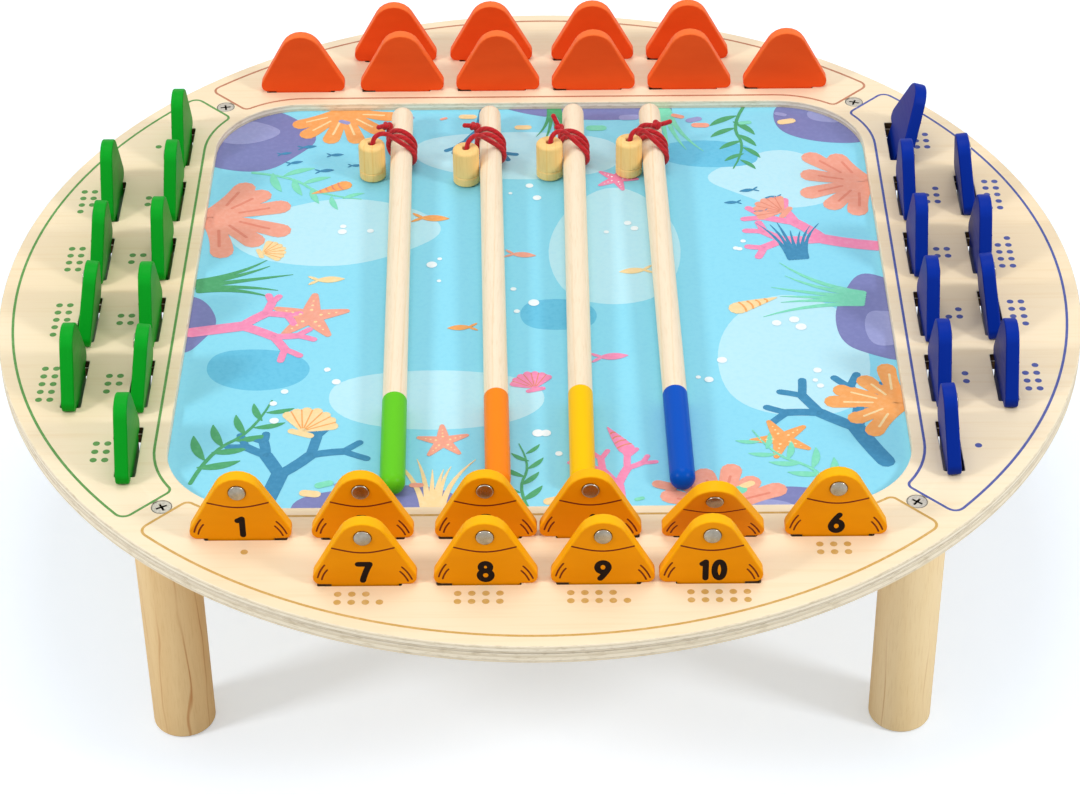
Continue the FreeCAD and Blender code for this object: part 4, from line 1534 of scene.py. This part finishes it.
def plain_fish(colour, at, reach):
    draw(colour, [(0, 0), (reach * 0.42, 0), (reach * 0.8, 0)], reach * 0.5, at,
         swell=[0.1, 1.15, 0.12])
    for way in (-1, 1):
        draw(colour, [(reach * 0.72, 0), (reach * 0.9, way * reach * 0.1),
                      (reach * 1.02, way * reach * 0.2)], reach * 0.2, at,
             swell=[0.3, 0.9, 0.3])


def bubble(x, y, radius):
    round_face = bmesh.new()
    bmesh.ops.create_circle(round_face, cap_ends=True, segments=24, radius=radius)
    thicken(round_face, (0, 0, BUBBLE_T))
    bmesh.ops.recalc_face_normals(round_face, faces=round_face.faces[:])
    put("foam", round_face, (x, y, 0, 3))


SHOALING = ((-112, 128, 190, 9), (-98, 120, 184, 8), (-118, 114, 196, 8), (-102, 106, 188, 9),
            (-88, 110, 182, 7), (-124, 122, 192, 7), (98, 84, 12, 9), (110, 78, 8, 8),
            (90, 74, 4, 8), (104, 66, 10, 7))
ALONE = (("orange", -44, 62, 176, 17), ("cream", 38, 16, 8, 15), ("salmon", -2, 30, 172, 14),
         ("pink", 40, -50, 186, 16), ("orange", -42, -28, 4, 13), ("cream", -92, 12, 184, 16))
for colour, x, y, turn, reach in [("blue", *fish) for fish in SHOALING] + list(ALONE):
    plain_fish(colour, (x, y, turn, 2), reach)
pick = random.Random(7)
for x, y in ((-88, -60), (-46, 20), (-4, -6), (40, 60), (92, 36), (116, -24), (-8, 84),
             (-120, -86), (80, -66), (-88, 62), (2, -116), (130, -62)):
    for _ in range(3):
        bubble(x + pick.uniform(-9, 9), y + pick.uniform(-12, 12), pick.uniform(0.9, 2.6))
for _ in range(26):
    x, y = pick.uniform(-140, 140), pick.choice((-1, 1)) * pick.uniform(141, 155)
    half = pick.uniform(1.0, 3.2)
    draw(pick.choice(("cream", "rock_light", "salmon", "mint")), [(-half, 0), (half, 0.1)],
         half * 1.7, (x, y, pick.uniform(-30, 30), 3), fine=2)
print("small things placed")

# %% Trim the print to the pond
PRINT_MARGIN = 0.05
for name, sheet in sheets.items():
    if not sheet.faces:
        sheet.free()
        continue
    for axis in ((1, 0, 0), (-1, 0, 0), (0, 1, 0), (0, -1, 0)):
        cut = bmesh.ops.bisect_plane(sheet, geom=sheet.verts[:] + sheet.edges[:] + sheet.faces[:],
                                     plane_co=Vector(axis) * (HALF_POND - PRINT_MARGIN),
                                     plane_no=axis, clear_outer=True)
        rim = [e for e in cut["geom_cut"] if isinstance(e, bmesh.types.BMEdge)]
        bmesh.ops.holes_fill(sheet, edges=rim, sides=0)
    print(name, "faces:", len(sheet.faces))
    finish_piece(f"print_{name}", sheet, [SEA[name]], angle=60)

# %% [markdown]
# ## Screws and magnets
#
# The screws' heads and their cross recesses already have the right shape in the frame, and
# so do the magnets, so those solids stay and only get their metal.

# %% Metal on the frame's own solids
for node, material in (("leg_screws", SCREW_ZINC), ("bobbin_magnets", MAGNET_NICKEL)):
    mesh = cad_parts[node].data
    mesh.materials.clear()
    mesh.materials.append(material)
    print(node, "wears", material.name)

# %% [markdown]
# ## Light and floor
#
# The picture was taken on white, between two soft lights that stand to the left and right
# in front, so each leg throws two faint shadows that cross under the table. A third lights
# the table's top from above, and a bright world fills in the rest.

# %% Light
TABLE_MIDDLE = Vector((0, 0, 0.1))
WORLD_FILL, WORLD_SEEN = 0.512, 1.0
for name, place, size, watts in (("left_softbox", (-1.5, -0.78, 1.3), 0.35, 13),
                                 ("right_softbox", (1.5, -0.78, 1.3), 0.35, 13),
                                 ("top_softbox", (0, 0.5, 2.0), 1.0, 10)):
    lamp = bpy.data.lights.new(name, "AREA")
    lamp.shape = "SQUARE"
    lamp.size = size
    lamp.energy = watts
    obj = bpy.data.objects.new(name, lamp)
    obj.location = place
    obj.rotation_euler = (TABLE_MIDDLE - Vector(place)).to_track_quat("-Z", "Y").to_euler()
    scene.collection.objects.link(obj)
    print(name, "watts:", watts)

world = bpy.data.worlds.new("studio")
scene.world = world
world.use_nodes = True
tree = world.node_tree
tree.nodes.clear()
rays = add(tree, "LightPath")
seen = calc(tree, "MAXIMUM", rays.outputs["Is Camera Ray"], rays.outputs["Is Glossy Ray"])
seen = calc(tree, "MAXIMUM", seen, rays.outputs["Is Transmission Ray"])
sky = add(tree, "Background", {"Color": (1, 1, 1, 1),
                               "Strength": remap(tree, seen, 0.0, 1.0, WORLD_FILL, WORLD_SEEN)})
add(tree, "OutputWorld", {"Surface": sky.outputs[0]})

# %% [markdown]
# ### The floor
#
# The picture's floor is white paper, faintly blue where it isn't lit straight on. Its light
# is half real and half its own: for camera rays it adds a weak bluish glow, so it comes out
# white without more light on the table, and the shadows stay soft. Further out it runs over
# into plain white, so no horizon shows from low down.

# %% Floor
FLOOR_HALF, FLOOR_GLOW = 6, 0.36
FADE_START, FADE_STOP = 0.8, 1.9
bm = bmesh.new()
bmesh.ops.create_grid(bm, x_segments=1, y_segments=1, size=FLOOR_HALF)
mesh = bpy.data.meshes.new("floor")
bm.to_mesh(mesh)
bm.free()
floor = bpy.data.objects.new("floor", mesh)
scene.collection.objects.link(floor)
material = bpy.data.materials.new("white_paper_floor")
material.use_nodes = True
tree = material.node_tree
tree.nodes.clear()
rays = add(tree, "LightPath")
camera_ray = rays.outputs["Is Camera Ray"]
paper = add(tree, "BsdfDiffuse", {"Color": mixed(tree, camera_ray, linear("#EEEEEE"),
                                                 linear("#E7EFF9"))})
shine = add(tree, "Emission", {"Color": linear("#EBF5FF"),
                               "Strength": calc(tree, "MULTIPLY", camera_ray, FLOOR_GLOW)})
both = add(tree, "AddShader", {0: paper.outputs[0], 1: shine.outputs[0]})
place = add(tree, "TexCoord")
distance = add(tree, "VectorMath", {0: place.outputs["Object"]}, operation="LENGTH")
fade = add(tree, "MapRange", {"Value": distance.outputs["Value"], "From Min": FADE_START,
                              "From Max": FADE_STOP}, interpolation_type="SMOOTHSTEP")
far = calc(tree, "MULTIPLY", fade.outputs[0], camera_ray)
white = add(tree, "Emission", {"Color": (1, 1, 1, 1), "Strength": 1.0})
floor_light = add(tree, "MixShader", {0: far, 1: both.outputs[0], 2: white.outputs[0]})
add(tree, "OutputMaterial", {"Surface": floor_light.outputs[0]})
mesh.materials.append(material)
scene.view_settings.view_transform = "Standard"
print("lights and floor ready")
